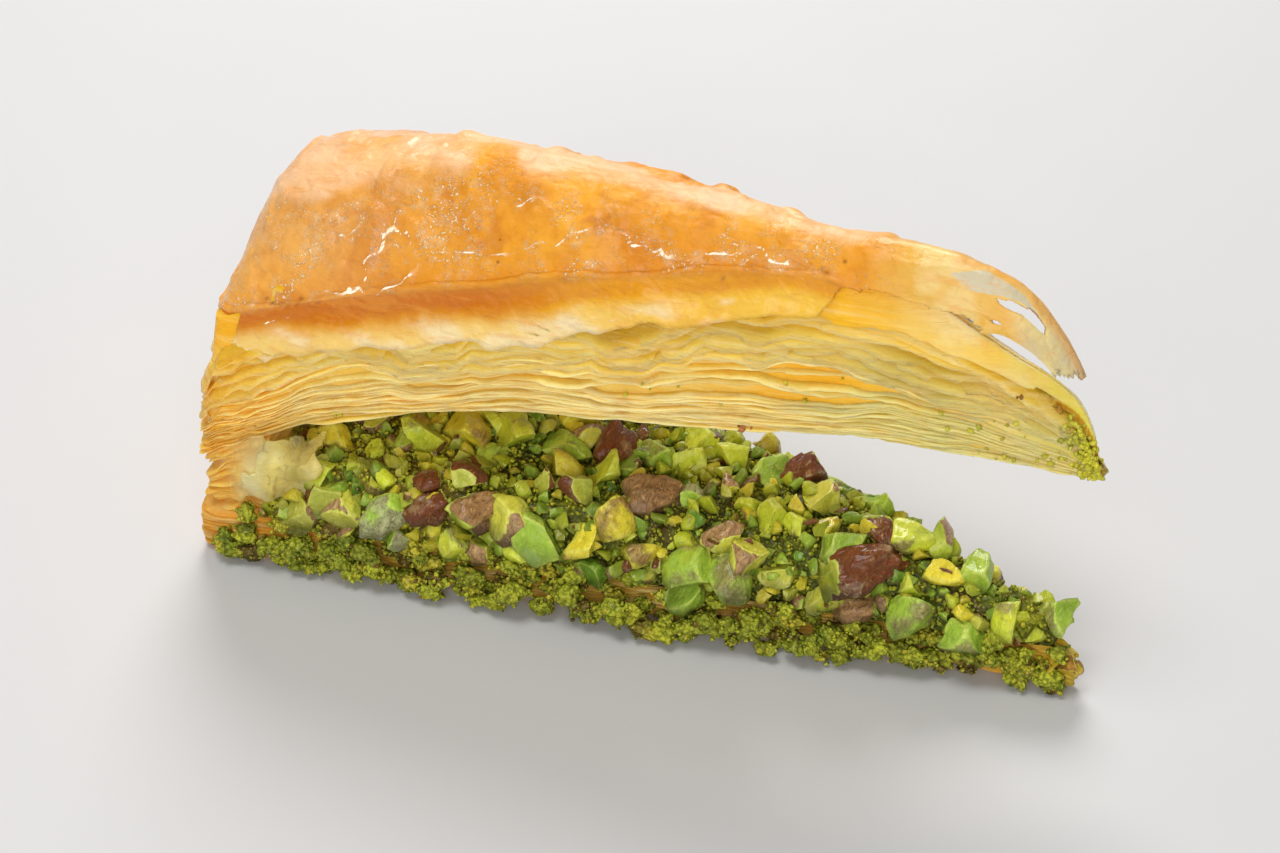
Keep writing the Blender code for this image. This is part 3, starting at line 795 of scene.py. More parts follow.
def sheen_share(points, pixels, side, front, freed):
    """Where the crest is pale, partly its own paler colour and partly a painted sheen of the light from
    behind: above a wavy line at the front, and over the crest's far side.
    """
    columns, rows = zip(*SHEEN_EDGE)
    wavy = np.interp(pixels[:, 0], columns, rows) + 5 * bumps(points, 5.0, 23)
    facing = 1 - ease(pixels[:, 1], wavy - 9, wavy + 7)
    crest = 1 - ease(np.abs(side) + 0.15 * bumps(points, 12.0, 24), 0.3, 0.5)
    veins = 0.75 + 0.4 * bumps(points * (0.35, 1.0, 1.0), 3.5, 25)
    return np.clip(mix(crest, facing, front) * veins, 0, 1) * (1 - 0.7 * freed)


def tongue_tint(tint, pixels, points, freed):
    """Colour the torn tongue: orange along its crest, a grey window, pale ragged strips."""
    mottled = chance_of(rough(points, 5.0, 26), swing=0.7)
    thin = blend_colours((0.62, 0.56, 0.34), (0.78, 0.64, 0.28), mottled)
    end = ease(pixels[:, 0], 1006, 1036) * ease(pixels[:, 1], 306, 330)
    pale = paint(blend_colours((0.80, 0.46, 0.07), (0.84, 0.60, 0.20), mottled), (thin, end))
    strip = np.exp(-(distance_to_line(pixels, TONGUE_CREST) / 8.0) ** 2) * ease(freed, 0.5, 1.0)
    return paint(
        tint, (pale, ease(freed, 0.35, 1.0) * 0.95), ((0.80, 0.40, 0.10), strip * 0.75),
        ((0.62, 0.58, 0.42), inside_polygon(pixels, TONGUE_WINDOW) * 0.85)
    )


def skirt_tint(tint, turn, station, points):
    """Colour the crust's skirt: deep orange below the ridge, amber, then cream with honey patches."""
    wavy = turn + 0.07 * bumps(points * (0.3, 0.3, 1.0), 6.0, 20) + 0.02 * bumps(points, 1.5, 29)
    right = ease(station, 46.0, 74.0)
    deep = blend_colours((0.60, 0.16, 0.001), (0.80, 0.33, 0.004), right)
    amber = blend_colours((0.76, 0.31, 0.002), (0.92, 0.52, 0.03), right)
    level = points * (0.25, 0.25, 1.0)
    cream = paint(
        blend_colours((0.93, 0.73, 0.38), (0.92, 0.54, 0.06), ease(station, 62.0, 84.0)),
        ((0.90, 0.54, 0.05), ease(rough(level, 3.0, 36), -0.2, 0.7) * 0.65),
        ((0.98, 0.80, 0.50), ease(bumps(level, 1.2, 37), 0.3, 1.0) * 0.6),
    )
    return paint(
        tint, (deep, ease(turn, 0.14, 0.26)), (amber, ease(wavy, 0.44, 0.64)), (cream, ease(wavy, 0.54, 0.78))
    )


def make_crust(settings):
    """The domed crust, one thin sheet that ends in a torn tongue."""
    mesh, along, across, _number = grids("crust", 1, *CRUST_GRID)
    across = across * 2 - 1
    points, station, side, freed, turn, outward = crust_place(along, across)
    plan = points * (1.0, 1.0, 0.0)
    pixels = seen_at(points)
    front = ease(-side, -0.35, 0.1)
    dome = ease(-turn, -0.3, -0.02)
    firm = dome * (1 - 0.6 * freed)
    folds = bumps(plan * (0.3, 1.0, 1.0), 8.5, 3) * 0.6 + bumps(plan * (0.5, 1.0, 1.0), 4.0, 4) * 0.2
    blisters = np.clip(bumps(points, 4.0, 9) - 0.3, 0, 1) * 0.8
    blisters += np.clip(bumps(points, 2.0, 10) - 0.35, 0, 1) * 0.3
    relief = (folds + blisters + bumps(points, 13.0, 6) * 0.6) * firm + bumps(points, 1.6, 7) * 0.05
    sheen = sheen_share(points, pixels, side, front, freed)
    drawn = pixels + wobble(points, 2.6, 41) * 4.0 + wobble(points, 1.1, 43) * 1.3
    wave = distance_to_line(drawn, SYRUP_WAVE)
    strand = np.minimum.reduce([wave] + [distance_to_line(drawn, ring) for ring in SYRUP_RINGS])
    strand = np.minimum(strand, 12.0) + 12.0 * (1 - front)
    lines = np.exp(-(strand / 2.4) ** 2)
    near = np.exp(-(strand / 16.0) ** 2) * front
    # Froth: raised bubbles, carrying painted glint specks and a pale painted highlight.
    glinting_froth = np.clip(ease(rough(points, 11.0, 18), -0.1, 0.7) * 0.6 + near * 0.8, 0, 1)
    glinting_froth = glinting_froth * ease(rough(points, 3.2, 40), -0.35, 0.35) * dome * (1 - freed) * (1 - sheen)
    froth_glint = glinting_froth * ease(bumps(points, 0.9, 19), 0.1, 0.9)
    relief += lines * 0.22 + froth_glint * 0.12
    syrup = np.clip(ease(rough(plan, 24.0, 12), -0.15, 0.5) * 0.6 + lines + (1 - dome), 0, 1)
    points += spots(0, -0.4 * relief * np.sign(-side) * dome, relief)
    drape = ease(turn, 0.3, 0.6)
    flat = points * (0.22, 0.22, 1.0)
    draped = bumps(flat, 2.6, 33) * 0.32 + bumps(flat, 1.0, 34) * 0.13 + bumps(points, 1.6, 35) * 0.07
    points += outward * (draped * drape)[:, None]
    write_points(mesh, points)

    warm = chance_of(rough(points, 22.0, 14), 0.45, 0.45)
    mottled = ease(rough(points, 8.0, 15), 0.1, 0.9) * ease(bumps(points, 1.4, 16), -0.5, 0.6)
    low_edge = ease(np.abs(side), 0.8, 1.0) * dome * (1 - freed)
    tint = paint(
        blend_colours(settings.colour, (0.78, 0.27, 0.012), warm),
        (settings.brown, mottled * 0.5),
        ((0.90, 0.52, 0.20), ease(-station, -46, -16) * (0.3 + 0.3 * warm)),
        ((0.86, 0.42, 0.07), ease(-station, -13, -3) * 0.7),
        # Pale crest: partly its own paler colour, partly a painted sheen of the light from behind.
        ((0.93, 0.58, 0.33), sheen * 0.8),
        ((0.72, 0.24, 0.01), low_edge * 0.45),
    )
    tint = skirt_tint(tint, turn, station, points)
    for spot in BURNT_SPOTS:
        burnt = np.exp(-(np.linalg.norm(pixels - spot, axis=1) / 2.0) ** 2) * front
        tint = paint(tint, (CRUST_BURNT, burnt * 0.8))
    # Painted highlight: the froth is lightened towards a pale glint.
    tint = paint(tint, ((0.96, 0.84, 0.62), froth_glint * 0.2))
    tint = tongue_tint(tint, pixels, points, freed)
    write_attribute(mesh, "tint", tint)
    write_attribute(mesh, "syrup", syrup)
    write_attribute(mesh, "froth_glint", glinting_froth)
    write_attribute(mesh, "strand", strand)
    write_attribute(mesh, "pale", np.clip(sheen + freed + ease(turn, 0.35, 0.6), 0, 1))
    cut_tongue(mesh, pixels, station)
    piece = make_piece("crust", mesh, crust_finish(), ("top_pastry",))
    return thicken(piece, settings.thickness, -1.0)


def thicken(piece, thickness, offset):
    """Give a sheet its thickness: inwards at offset -1, to both sides at 0."""
    shell = piece.modifiers.new("thickness", "SOLIDIFY")
    shell.thickness = thickness
    shell.offset = offset
    return piece


def cut_tongue(mesh, pixels, station):
    """Tear the slit and the ragged strips out of the tongue, where the photograph shows them."""
    ragged = pixels + wobble(pixels_as_points(pixels), 5.0, 21) * 1.6
    gone = inside_polygon(ragged, SLIT) | inside_polygon(ragged, GAP_BELOW_FINGER)
    gone &= station > TORN_FROM
    shell = bmesh.new()
    shell.from_mesh(mesh)
    shell.verts.ensure_lookup_table()
    doomed = [face for face in shell.faces if sum(gone[vertex.index] for vertex in face.verts) > 1]
    rims = {vertex for face in doomed for vertex in face.verts}
    bmesh.ops.delete(shell, geom=doomed, context="FACES")
    rims = [vertex for vertex in rims if vertex.is_valid and vertex.is_boundary]
    for _ in range(TORN_SMOOTHINGS):
        bmesh.ops.smooth_vert(
            shell, verts=rims, factor=0.5, use_axis_x=True, use_axis_y=True, use_axis_z=True
        )
    bmesh.ops.recalc_face_normals(shell, faces=shell.faces)
    shell.to_mesh(mesh)
    shell.free()


def pixels_as_points(pixels):
    return spots(pixels[:, 0], pixels[:, 1], 0.0)


# Layered faces.

RIBBON = [(0.0, 1), (0.45, 1), (0.75, 1), (1.0, 1), (1.0, -1), (0.75, -1), (0.45, -1), (0.0, -1)]


def ribbon_rings(name, outline, sheets, columns, place):
    """Thin sheets that follow an outline, each a closed ring.

    place gives a ring's points for the number of the sheet, the share of its depth and its face, up or down.
    """
    mesh, around, row, number = grids(name, sheets, columns, len(RIBBON))
    step = np.round(row * len(RIBBON)).astype(int) % len(RIBBON)
    depth = np.array([depth for depth, _face in RIBBON])[step]
    face = np.array([face for _depth, face in RIBBON], float)[step]
    around = np.round(around * columns) % columns / columns
    edge, inward, room = outline.at(around)
    points, tint = place(edge, inward, room, number, depth, face)
    write_points(mesh, points)
    write_attribute(mesh, "tint", tint)
    weld(mesh)
    return mesh


def stack_heights(edge, gaps, seed, waver, pockets):
    """Running shares of a stack's height at each edge point, with a pocket of air where pockets says."""
    plan = edge * (1.0, 1.0, 0.0)
    columns = []
    for index, (gap, pocket) in enumerate(zip(gaps, pockets)):
        swell = bumps(plan, 23.0, seed + index) + 0.3 * bumps(plan, 7.0, seed + 60 + index)
        wave = np.exp(waver * swell)
        lens = ease(bumps(plan, 15.0, seed + 120 + index), 0.35, 1.0) * pocket
        columns.append(gap * (wave + lens))
    running = np.cumsum(np.stack(columns, axis=1), axis=1)
    return running / running[:, -1:]


def lid_levels(settings):
    """Gap under each sheet of the lid's face, from the fine ones below to the hanging ones above."""
    fine = [0.42] * settings.fine_sheets
    broad = [0.95] * settings.broad_sheets
    hanging = [1.5] * settings.hanging_sheets
    return fine + broad + hanging + [9.0]


def lid_sheets(settings, outline, first, count, kind, name, material, seed):
    """One band of the lid's filo sheets: fine and broad ones lie flat, hanging ones droop over the face."""
    gaps = lid_levels(settings)
    pockets = [0.5] * settings.fine_sheets + [2.4] * settings.broad_sheets
    pockets += [0.7] * (len(gaps) - len(pockets))
    thickness = settings.sheet_thickness / MM
    hangs = kind == "hanging"

    def place(edge, inward, room, number, depth, face):
        sheet = number + first
        station = station_of(edge[:, 0], edge[:, 1])
        running = stack_heights(edge, gaps, 200, 0.32, pockets)
        opened = ease(station, TONGUE_START - 6, TONGUE_START + 12)
        level = running[np.arange(len(edge)), sheet] * mix(1.0, 0.76 / running[:, -2], opened)
        low = lid_underside(station)
        tall = (lid_crest(station) - low) * crust_share(station)
        plan = edge * (1.0, 1.0, 0.0) + spots(0.0, 0.0, sheet * 7.3)
        chance = bumps(spots(sheet * 3.1, station / 13.0, 0.0), 1.0, seed)
        torn = np.clip(bumps(plan, 9.0, seed + 3) - 0.35, 0, 1)
        ragged = bumps(plan, 1.5, seed + 1) * 0.12 + bumps(plan, 5.5, seed + 2) * 0.3
        crumpled = 1 - ease(station, 5.0, 26.0)
        ragged = ragged * (1 + 0.9 * crumpled) + bumps(plan, 2.2, seed + 9) * 0.35 * crumpled
        if hangs:
            varied = 0.4 * bumps(plan, 17.0, seed + 4) + 0.1 * bumps(plan, 4.0, seed + 5) + ragged * 0.3
            level = np.maximum(level - depth * 2.9 * (1 + varied) / np.maximum(tall, 1.0), 0.02)
            stand = mix(-1.0, 0.45 + 0.35 * bumps(plan, 12.0, seed + 6), depth ** 0.7)
            inset = face_lean(station, level) - stand - face * thickness * mix(0.4, 0.15, depth)
            inset += 0.22 * bumps(plan + spots(0.0, 0.0, level * 30), 4.0, seed + 7) * depth
            inset += 0.12 * bumps(plan, 1.7, seed + 8) * depth
            points = edge + inward * np.clip(inset, 0.0, room * 0.9)[:, None]
            points[:, 2] = low + tall * level + bumps(plan, 3.4, seed + 10) * 0.6 * crumpled * depth
            return points, filo_tint(settings, station, level, depth, chance, plan)
        deep, droop, reach = (3.0, 0.2, 0.5) if kind == "fine" else (4.2, 0.7, 0.8)
        outer = face_lean(station, level) + 0.1 - (ragged + chance * 0.75) * reach + torn * 2.0 * reach
        inset = np.minimum(outer + (1 - depth) * deep, room * 0.9)
        points = edge + inward * inset[:, None]
        curl = bumps(plan, 8.0, seed + 4) * 0.6 + 0.5
        points[:, 2] = low + tall * level - droop * curl * depth ** 3
        points[:, 2] += face * thickness * (0.4 if kind == "fine" else 0.5) * (1.15 - depth * 0.5)
        points[:, 2] += bumps(plan, 2.4, seed + 5) * (0.1 + 0.25 * crumpled) * depth
        return points, filo_tint(settings, station, level, depth, chance, plan)

    mesh = ribbon_rings(name, outline, count, 560, place)
    return make_piece(name, mesh, material)


def filo_tint(settings, station, level, depth, chance, plan):
    """Colour of a sheet: cream at its edge under a pale rim that is partly its own drier colour and partly a
    painted highlight, honey inwards from the edge that is partly syrup soak and partly painted shade under
    the sheet above, honey towards the crust, toasted at the rim, pale at the tip.
    """
    cream = blend_colours((0.74, 0.58, 0.19), settings.cream, ease(level, 0.15, 0.5))
    patches = ease(rough(plan, 11.0, 303), -0.1, 0.8)
    cream = paint(cream, ((0.92, 0.52, 0.03), np.maximum(ease(level, 0.5, 0.8) * 0.8, patches * 0.6)))
    deep = blend_colours((0.68, 0.36, 0.015), settings.honey, ease(level, 0.5, 0.9))
    toast = chance_of(bumps(plan, 7.0, 301), swing=0.6)
    rim = 1 - ease(station, 3.0, 24.0)
    low_left = (1 - ease(level, 0.05, 0.35)) * (1 - ease(station, 20, 60))
    pale = ease(station, 80, 128) * (1 - ease(level, 0.25, 0.8))
    soaked = blend_colours((0.40, 0.32, 0.02), (0.62, 0.56, 0.19), ease(depth, 0.4, 1.0))
    brown = ease(bumps(plan, 4.0, 302), 0.35, 0.9) * depth ** 4
    colour = paint(
        deep,
        # Inwards from its edge the sheet stays honey: partly syrup soak, partly painted shade in the recess
        # under the sheet above.
        (cream, ease(depth, 0.35, 0.95)),
        # Pale rim at the sheet's edge: partly its own drier colour, partly a painted highlight.
        ((0.97, 0.79, 0.38), ease(depth, 0.82, 1.0) * 0.5),
        ((0.92, 0.44, 0.03), rim * (0.45 + 0.5 * toast)),
        ((0.76, 0.42, 0.05), low_left * 0.5 * toast),
        (soaked, pale * 0.75),
        ((0.66, 0.34, 0.05), brown * 0.3),
    )
    return colour * (1 + 0.1 * chance)[:, None]


def ring_rows(name, columns, rows):
    """Rows of a closed ring: its mesh, each point's share of the way round, and the values of its row."""
    mesh, around, row, _number = grids(name, 1, columns, len(rows) - 1)
    step = np.round(row * (len(rows) - 1)).astype(int)
    return mesh, np.round(around * columns) % columns / columns, [np.array(part)[step] for part in zip(*rows)]


# How the lid's body runs up its faces and over its dome, as shares of the way.
LID_UNDER = (1.0, 0.6, 0.3, 0.12)
LID_FACE = (0.0, 0.15, 0.3, 0.45, 0.6, 0.7, 0.78, 0.82, 0.86, 0.9, 0.94, 0.98, 1.0)
LID_DOME = (0.05, 0.15, 0.3, 0.5, 0.75, 1.0)
LID_COLUMNS = 480


def make_lid_core(material):
    """Body behind the sheets: closed, a little smaller than the lid, with a smooth honey band on top."""
    outer = SLICE_LENGTH - LID_SETBACK
    outline = Outline(2.2, outer, LID_ANGLE, LID_TIP_WIDTH, (1.5, LID_HIP), LID_COLUMNS, 120)
    parts = (("under", LID_UNDER), ("face", LID_FACE), ("dome", LID_DOME))
    rows = [(kind, share) for kind, shares in parts for share in shares]
    mesh, around, (kind, share) = ring_rows("lid_core", LID_COLUMNS, rows)
    edge, inward, room = outline.at(around)
    station = station_of(edge[:, 0], edge[:, 1])
    level = np.where(kind == "face", share, np.where(kind == "under", 0.0, 1.0))
    torn = ease(station, TONGUE_START - 6, TONGUE_START + 8)
    hollow = mix(1.3, -0.45, torn * ease(level, 0.56, 0.72) * (1 - 0.8 * ease(level, 0.9, 1.0)))
    inset = np.minimum(face_lean(station, level) + np.minimum(hollow, room * 0.12), room * 0.9)
    inset = np.where(kind == "face", inset, inset + (room - inset) * share)
    points = edge + inward * inset[:, None]
    station = station_of(points[:, 0], points[:, 1])
    low = lid_underside(station)
    crest = lid_crest(station)
    shared = crust_share(station)
    rise = shared + (1 - shared) * dome_rise(points[:, 0], points[:, 1])
    buried = mix(1.6, mix(3.0, 1.7, ease(station, 126, 144)), torn)
    dome = low + (crest - low) * rise - buried
    face = low + (crest - low) * shared * level - 0.5 * buried * level
    points[:, 2] = np.where(kind == "face", face, np.where(kind == "under", low + 0.1, dome))
    points[:, 2] += rough(points, 9.0, 41) * np.where(kind == "face", 0.2, 0.35)
    write_points(mesh, points)
    tint = blend_colours((0.86, 0.56, 0.10), (0.88, 0.42, 0.012), ease(level, 0.6, 0.88))
    milky = chance_of(rough(points, 6.0, 42))
    write_attribute(mesh, "tint", paint(
        tint,
        (blend_colours((0.98, 0.64, 0.10), (1.0, 0.80, 0.34), milky), torn),
        ((0.94, 0.50, 0.02), ease(station, 88, 96) * (1 - ease(station, 106, 128))),
        ((0.66, 0.58, 0.08), ease(station, 124, 144) * 0.85),
    ))
    weld(mesh)
    return make_piece("lid_core", mesh, material)


# Base pastry, heel and the pale flap.

HEEL_SHEETS = 15


def base_sheets(settings):
    """Pressed sheets of the base, brown at the rim and amber at the tip."""
    outline = Outline(1.8, SLICE_LENGTH, SLICE_ANGLE, BASE_TIP_WIDTH, (2.0, 20.0), 560, 60)
    count = settings.sheets

    def place(edge, inward, room, number, depth, face):
        station = station_of(edge[:, 0], edge[:, 1])
        gaps = [1.0] * count
        running = stack_heights(edge, gaps, 500, 0.4, [0.5] * count)
        level = running[np.arange(len(edge)), number]
        plan = edge * (1.0, 1.0, 0.0) + spots(0.0, 0.0, number * 5.1)
        ragged = bumps(plan, 2.5, 511) * 0.3 + bumps(plan, 7.0, 512) * 0.45
        lean = 0.9 + 0.9 * np.abs(level - 0.45) - ragged * 0.7
        tip_fall = 0.22 * ease(station, 143.0, 149.0)
        deep = mix(6.0, room * 0.98, (number == count - 1) | (number == 0))
        inset = np.minimum(lean + (1 - depth) * deep, room * 0.98)
        points = edge + inward * inset[:, None]
        half = 0.2
        points[:, 2] = mix(half + 0.02, BASE_HEIGHT - half, level * (1 - tip_fall)) + face * half
        points[:, 2] += bumps(plan, 3.0, 514) * 0.08 * depth * (number > 0)
        points[:, 2] = np.maximum(points[:, 2], 0.0)
        points[:, 2] = np.maximum(points[:, 2] + bumps(plan, 4.0, 516) * 0.35 * depth, 0.0)
        toast = chance_of(bumps(plan, 5.0, 515), swing=0.6)
        rim = 1 - ease(station, 3.0, 22.0)
        glazed = ease(station, 20.0, 34.0) * (1 - ease(station, 128.0, 138.0))
        return points, paint(
            blend_colours((0.78, 0.42, 0.05), settings.brown, 0.25 + 0.45 * toast),
            ((0.26, 0.17, 0.02), glazed * 0.75),
            ((0.70, 0.27, 0.02), rim * (0.45 + 0.4 * (1 - toast))),
            (settings.amber, ease(station, 136.0, 146.0)),
        )

    mesh = ribbon_rings("base_sheets", outline, count, 560, place)
    material = filo_finish("soaked_base", 0.9, 700)
    return make_piece("base_sheets", mesh, material, ("base_pastry",))


def heel_sheets(material):
    """Stack of sheets at the rim that carries the top pastry."""
    outer = SLICE_LENGTH - HEEL_SETBACK
    outline = Outline(SLICE_LENGTH - HEEL_LENGTH, outer, SLICE_ANGLE, 0.0, (4.0, 4.0), 300, 40)
    count = HEEL_SHEETS

    def place(edge, inward, room, number, depth, face):
        station = station_of(edge[:, 0], edge[:, 1])
        running = stack_heights(edge, [1.0] * count, 600, 0.45, [1.0] * count)
        level = running[np.arange(len(edge)), number]
        plan = edge * (1.0, 1.0, 0.0) + spots(0.0, 0.0, number * 5.7)
        ragged = bumps(plan, 2.0, 611) * 0.35 + bumps(plan, 6.0, 612) * 0.6
        inner = ease(station, HEEL_LENGTH - 1.0, HEEL_LENGTH)
        ragged += bumps(plan, 3.2, 613) * 0.55
        inset = mix(1.9 - ragged, 0.3, inner) + (1 - depth) * 4.5
        points = edge + inward * np.minimum(inset, room * 0.95)[:, None]
        low = BASE_HEIGHT - 0.3
        top = lid_underside(station) - 0.4
        points[:, 2] = mix(low, top, level) + face * 0.15 - 0.4 * depth ** 2
        points[:, 2] += bumps(plan, 3.0, 614) * 0.45 * depth
        toast = chance_of(bumps(plan, 4.0, 615), swing=0.6)
        colour = blend_colours((0.86, 0.52, 0.11), (0.62, 0.24, 0.015), toast * 0.8 * (1 - 0.4 * depth))
        return points, colour

    mesh = ribbon_rings("heel_sheets", outline, count, 300, place)
    return make_piece("heel_sheets", mesh, material)


# Pistachio.

MOUND_COLUMNS = 420
# Height share, setback from the edge and pull towards the middle of each row of the mound.
MOUND_ROWS = [
    (0.0, 0.0, 1.0), (0.0, 0.0, 0.5), (0.0, 0.0, 0.0), (0.2, 0.2, 0.0), (0.4, 0.5, 0.0), (0.6, 1.0, 0.0),
    (0.76, 1.7, 0.0), (0.88, 2.6, 0.0), (0.95, 2.6, 0.15), (0.97, 2.6, 0.3), (0.98, 2.6, 0.5),
    (0.99, 2.6, 0.75), (1.0, 0.0, 1.0),
]


def make_mound(material):
    """Ground pistachio under the kernels, coloured very dark: partly its own dull green, partly painted shade
    in the gaps between the kernels.
    """
    outer = SLICE_LENGTH - HEEL_LENGTH - 0.3
    outline = Outline(FILLING_TIP, outer, SLICE_ANGLE, 0.0, (6.0, 8.0), MOUND_COLUMNS, 0)
    mesh, around, (height, setback, pull) = ring_rows("pistachio_mound", MOUND_COLUMNS, MOUND_ROWS)
    edge, inward, room = outline.at(around)
    heel_side = station_of(edge[:, 0], edge[:, 1]) < SLICE_LENGTH - outer + 0.2
    setback = np.where(heel_side, 0.0, setback - 1.0)
    inset = setback + (room - setback) * pull
    points = edge + inward * inset[:, None]
    floor = BASE_HEIGHT + 0.3
    crest = filling_crest(station_of(points[:, 0], points[:, 1]))
    points[:, 2] = floor + (crest - floor) * height
    lumpy = (height > 0.1) * np.where(heel_side, 0.2, 1.0)
    points += (rough(points, 5.0, 71, 3) * 0.7 * lumpy)[:, None] * np.array([0, 0, 1.0])
    points -= inward * (rough(points, 3.5, 74, 3) * 0.45 * lumpy * (pull < 0.4))[:, None]
    write_points(mesh, points)
    share = chance_of(rough(points, 2.2, 77))
    # Paler and tan towards the rim end.
    paler_left = ease(-points[:, 0], -LEFT_NUTS_TO, 34.0)
    # Very dark green: partly the ground nut's own colour, partly painted shade where it shows between the
    # kernels.
    write_attribute(mesh, "tint", paint(
        blend_colours((0.035, 0.042, 0.004), (0.20, 0.21, 0.012), share),
        ((0.10, 0.04, 0.01), ease(rough(points, 6.0, 78), 0.15, 0.8) * 0.8),
        ((0.50, 0.34, 0.05), paler_left * (0.45 + 0.4 * share)),
    ))
    weld(mesh)
    return make_piece("pistachio_mound", mesh, material, ("pistachio_filling",))


def round_shape(detail):
    """Points and triangles of a ball."""
    shell = bmesh.new()
    bmesh.ops.create_icosphere(shell, subdivisions=detail, radius=1.0)
    points = np.array([vertex.co for vertex in shell.verts])
    faces = np.array([[vertex.index for vertex in face.verts] for face in shell.faces])
    shell.free()
    return points, faces


def chopped_shape(rng, detail, cuts, slim=(0.64, 0.58), wrinkles=0.03):
    """A nut kernel, chopped by flat knife cuts: its points, triangles and how much of the skin is left."""
    points, faces = round_shape(detail)
    shift = rng.uniform(-50, 50, 3)
    furrows = bumps(points * (0.7, 2.4, 2.4) + shift, 0.9, 51)
    furrows += 0.5 * bumps(points * (1.2, 4.5, 4.5) + shift, 0.9, 52)
    points = points * (1 + wrinkles * furrows)[:, None]
    taper = 1 - 0.22 * points[:, 0]
    points = points * spots(1.0, slim[0] * taper, slim[1] * taper)
    skins = np.ones(len(points))
    edges = np.zeros(len(points))
    for direction, distance in cuts:
        direction = np.array(direction)
        over = points @ direction - distance
        points -= np.maximum(over, 0)[:, None] * direction
        skins = np.minimum(skins, 1 - ease(over, -0.04, 0.0))
        edges = np.maximum(edges, np.exp(-(over / 0.055) ** 2))
    away = points / np.maximum(np.linalg.norm(points, axis=1), 1e-6)[:, None]
    points += away * (bumps(points + shift, 0.5, 53) * 0.06 + bumps(points + shift, 0.2, 54) * 0.022)[:, None]
    return points - (points.max(0) + points.min(0)) / 2, faces, skins, edges


def no_skin(points):
    return np.zeros(len(points)), np.zeros(len(points))


def random_direction(rng):
    return Vector(rng.normal(0, 1, 3)).normalized()


def half_cuts(rng):
    """Cuts of a kernel split lengthways, with one end chopped off."""
    slant = Vector((rng.uniform(-0.15, 0.15), rng.uniform(-0.4, 0.4), 1.0)).normalized()
    end = Vector((rng.choice((-1, 1)), rng.uniform(-0.5, 0.5), rng.uniform(-0.4, 0.4))).normalized()
    return [(slant, rng.uniform(0.12, 0.3)), (end, rng.uniform(0.5, 0.75))]


def chunk_cuts(rng, count):
    """Cuts that turn a kernel into an angular chunk."""
    cuts = []
    while len(cuts) < count:
        direction = random_direction(rng)
        if all(direction.dot(other) < 0.55 for other, _distance in cuts):
            cuts.append((direction, rng.uniform(0.26, 0.5)))
    return cuts


class Heap:
    """Nuts joined into one mesh: shapes, each with a place, a turn, a size and its colours."""

    def __init__(self):
        self.points = []
        self.faces = []
        self.tints = []
        self.skin_tints = []
        self.skins = []
        self.count = 0

    def add(self, shape, centre, turn, size, colours, shade=1.0, foot_shade=0.0):
        """Add a shape in its flesh and skin colours, with how much skin it keeps; shade scales its colours,
        and the last value paints shade onto its lower part, darkest at its foot.
        """
        points, faces, skins, edges = shape
        flesh, skin, cover = colours
        placed = (points * size) @ turn.T
        self.points.append(placed + centre)
        self.faces.append(faces + self.count)
        height = placed[:, 2] / max(placed[:, 2].max(), 1e-6)
        # Painted shade: the shape darkens towards its foot.
        shade = (shade * (1 - foot_shade * (1 - ease(height, -0.9, 0.35))))[:, None]
        # Painted highlight: the flesh is lightened along the edges of the knife cuts.
        lit = mix(np.asarray(flesh), np.array(NUT_PALE_AND_HIGHLIGHT), (edges * 0.4)[:, None])
        self.tints.append(lit * shade)
        self.skin_tints.append(np.asarray(skin) * shade)
        self.skins.append(skins * cover)
        self.count += len(points)

    def finish(self, name, material, slot, sharp=None):
        mesh = bpy.data.meshes.new(name)
        mesh.from_pydata(np.vstack(self.points) * MM, [], np.vstack(self.faces))
        write_attribute(mesh, "tint", np.vstack(self.tints))
        write_attribute(mesh, "skin_tint", np.vstack(self.skin_tints))
        write_attribute(mesh, "skin", np.concatenate(self.skins))
        return make_piece(name, mesh, material, sharp=sharp)


def turn_matrix(normal, spin, tilt=(0.0, 0.0)):
    """Rotation that lays a nut on a slope, spun about the slope's normal and tilted a little."""
    rotation = Euler((tilt[0], tilt[1], spin)).to_matrix()
    lie = Vector(normal).to_track_quat("Z", "Y").to_matrix()
    return np.array(lie @ rotation)


class Surface:
    """Places on a mesh's open faces, drawn evenly by area."""

    def __init__(self, mesh, keep):
        mesh.calc_loop_triangles()
        corners = np.empty(len(mesh.loop_triangles) * 3, int)
        mesh.loop_triangles.foreach_get("vertices", corners)
        triangles = (read_points(mesh) / MM)[corners.reshape(-1, 3)]
        normal = np.cross(triangles[:, 1] - triangles[:, 0], triangles[:, 2] - triangles[:, 0])
        area = np.linalg.norm(normal, axis=1)
        normal /= np.maximum(area, 1e-9)[:, None]
        kept = keep(triangles.mean(1), normal) & (area > 1e-6)
        self.triangles = triangles[kept]
        self.normals = normal[kept]
        self.chance = area[kept] / area[kept].sum()

    def draw(self, rng, count):
        picks = rng.choice(len(self.triangles), count, p=self.chance)
        shares = rng.random((count, 2))
        shares = np.where(shares.sum(1, keepdims=True) > 1, 1 - shares, shares)
        corner = self.triangles[picks]
        places = corner[:, 0] + shares[:, :1] * (corner[:, 1] - corner[:, 0])
        places += shares[:, 1:] * (corner[:, 2] - corner[:, 0])
        return places, self.normals[picks]

    def spread(self, rng, count, spacing, taken=()):
        """Places that keep a distance from each other and from those taken."""
        kept = [np.asarray(place) for place in taken]
        first = len(kept)
        normals = []
        places, slopes = self.draw(rng, count * 12)
        for place, slope in zip(places, slopes):
            if len(normals) == count:
                break
            if not kept or np.linalg.norm(np.array(kept) - place, axis=1).min() > spacing:
                kept.append(place)
                normals.append(slope)
        return kept[first:], normals


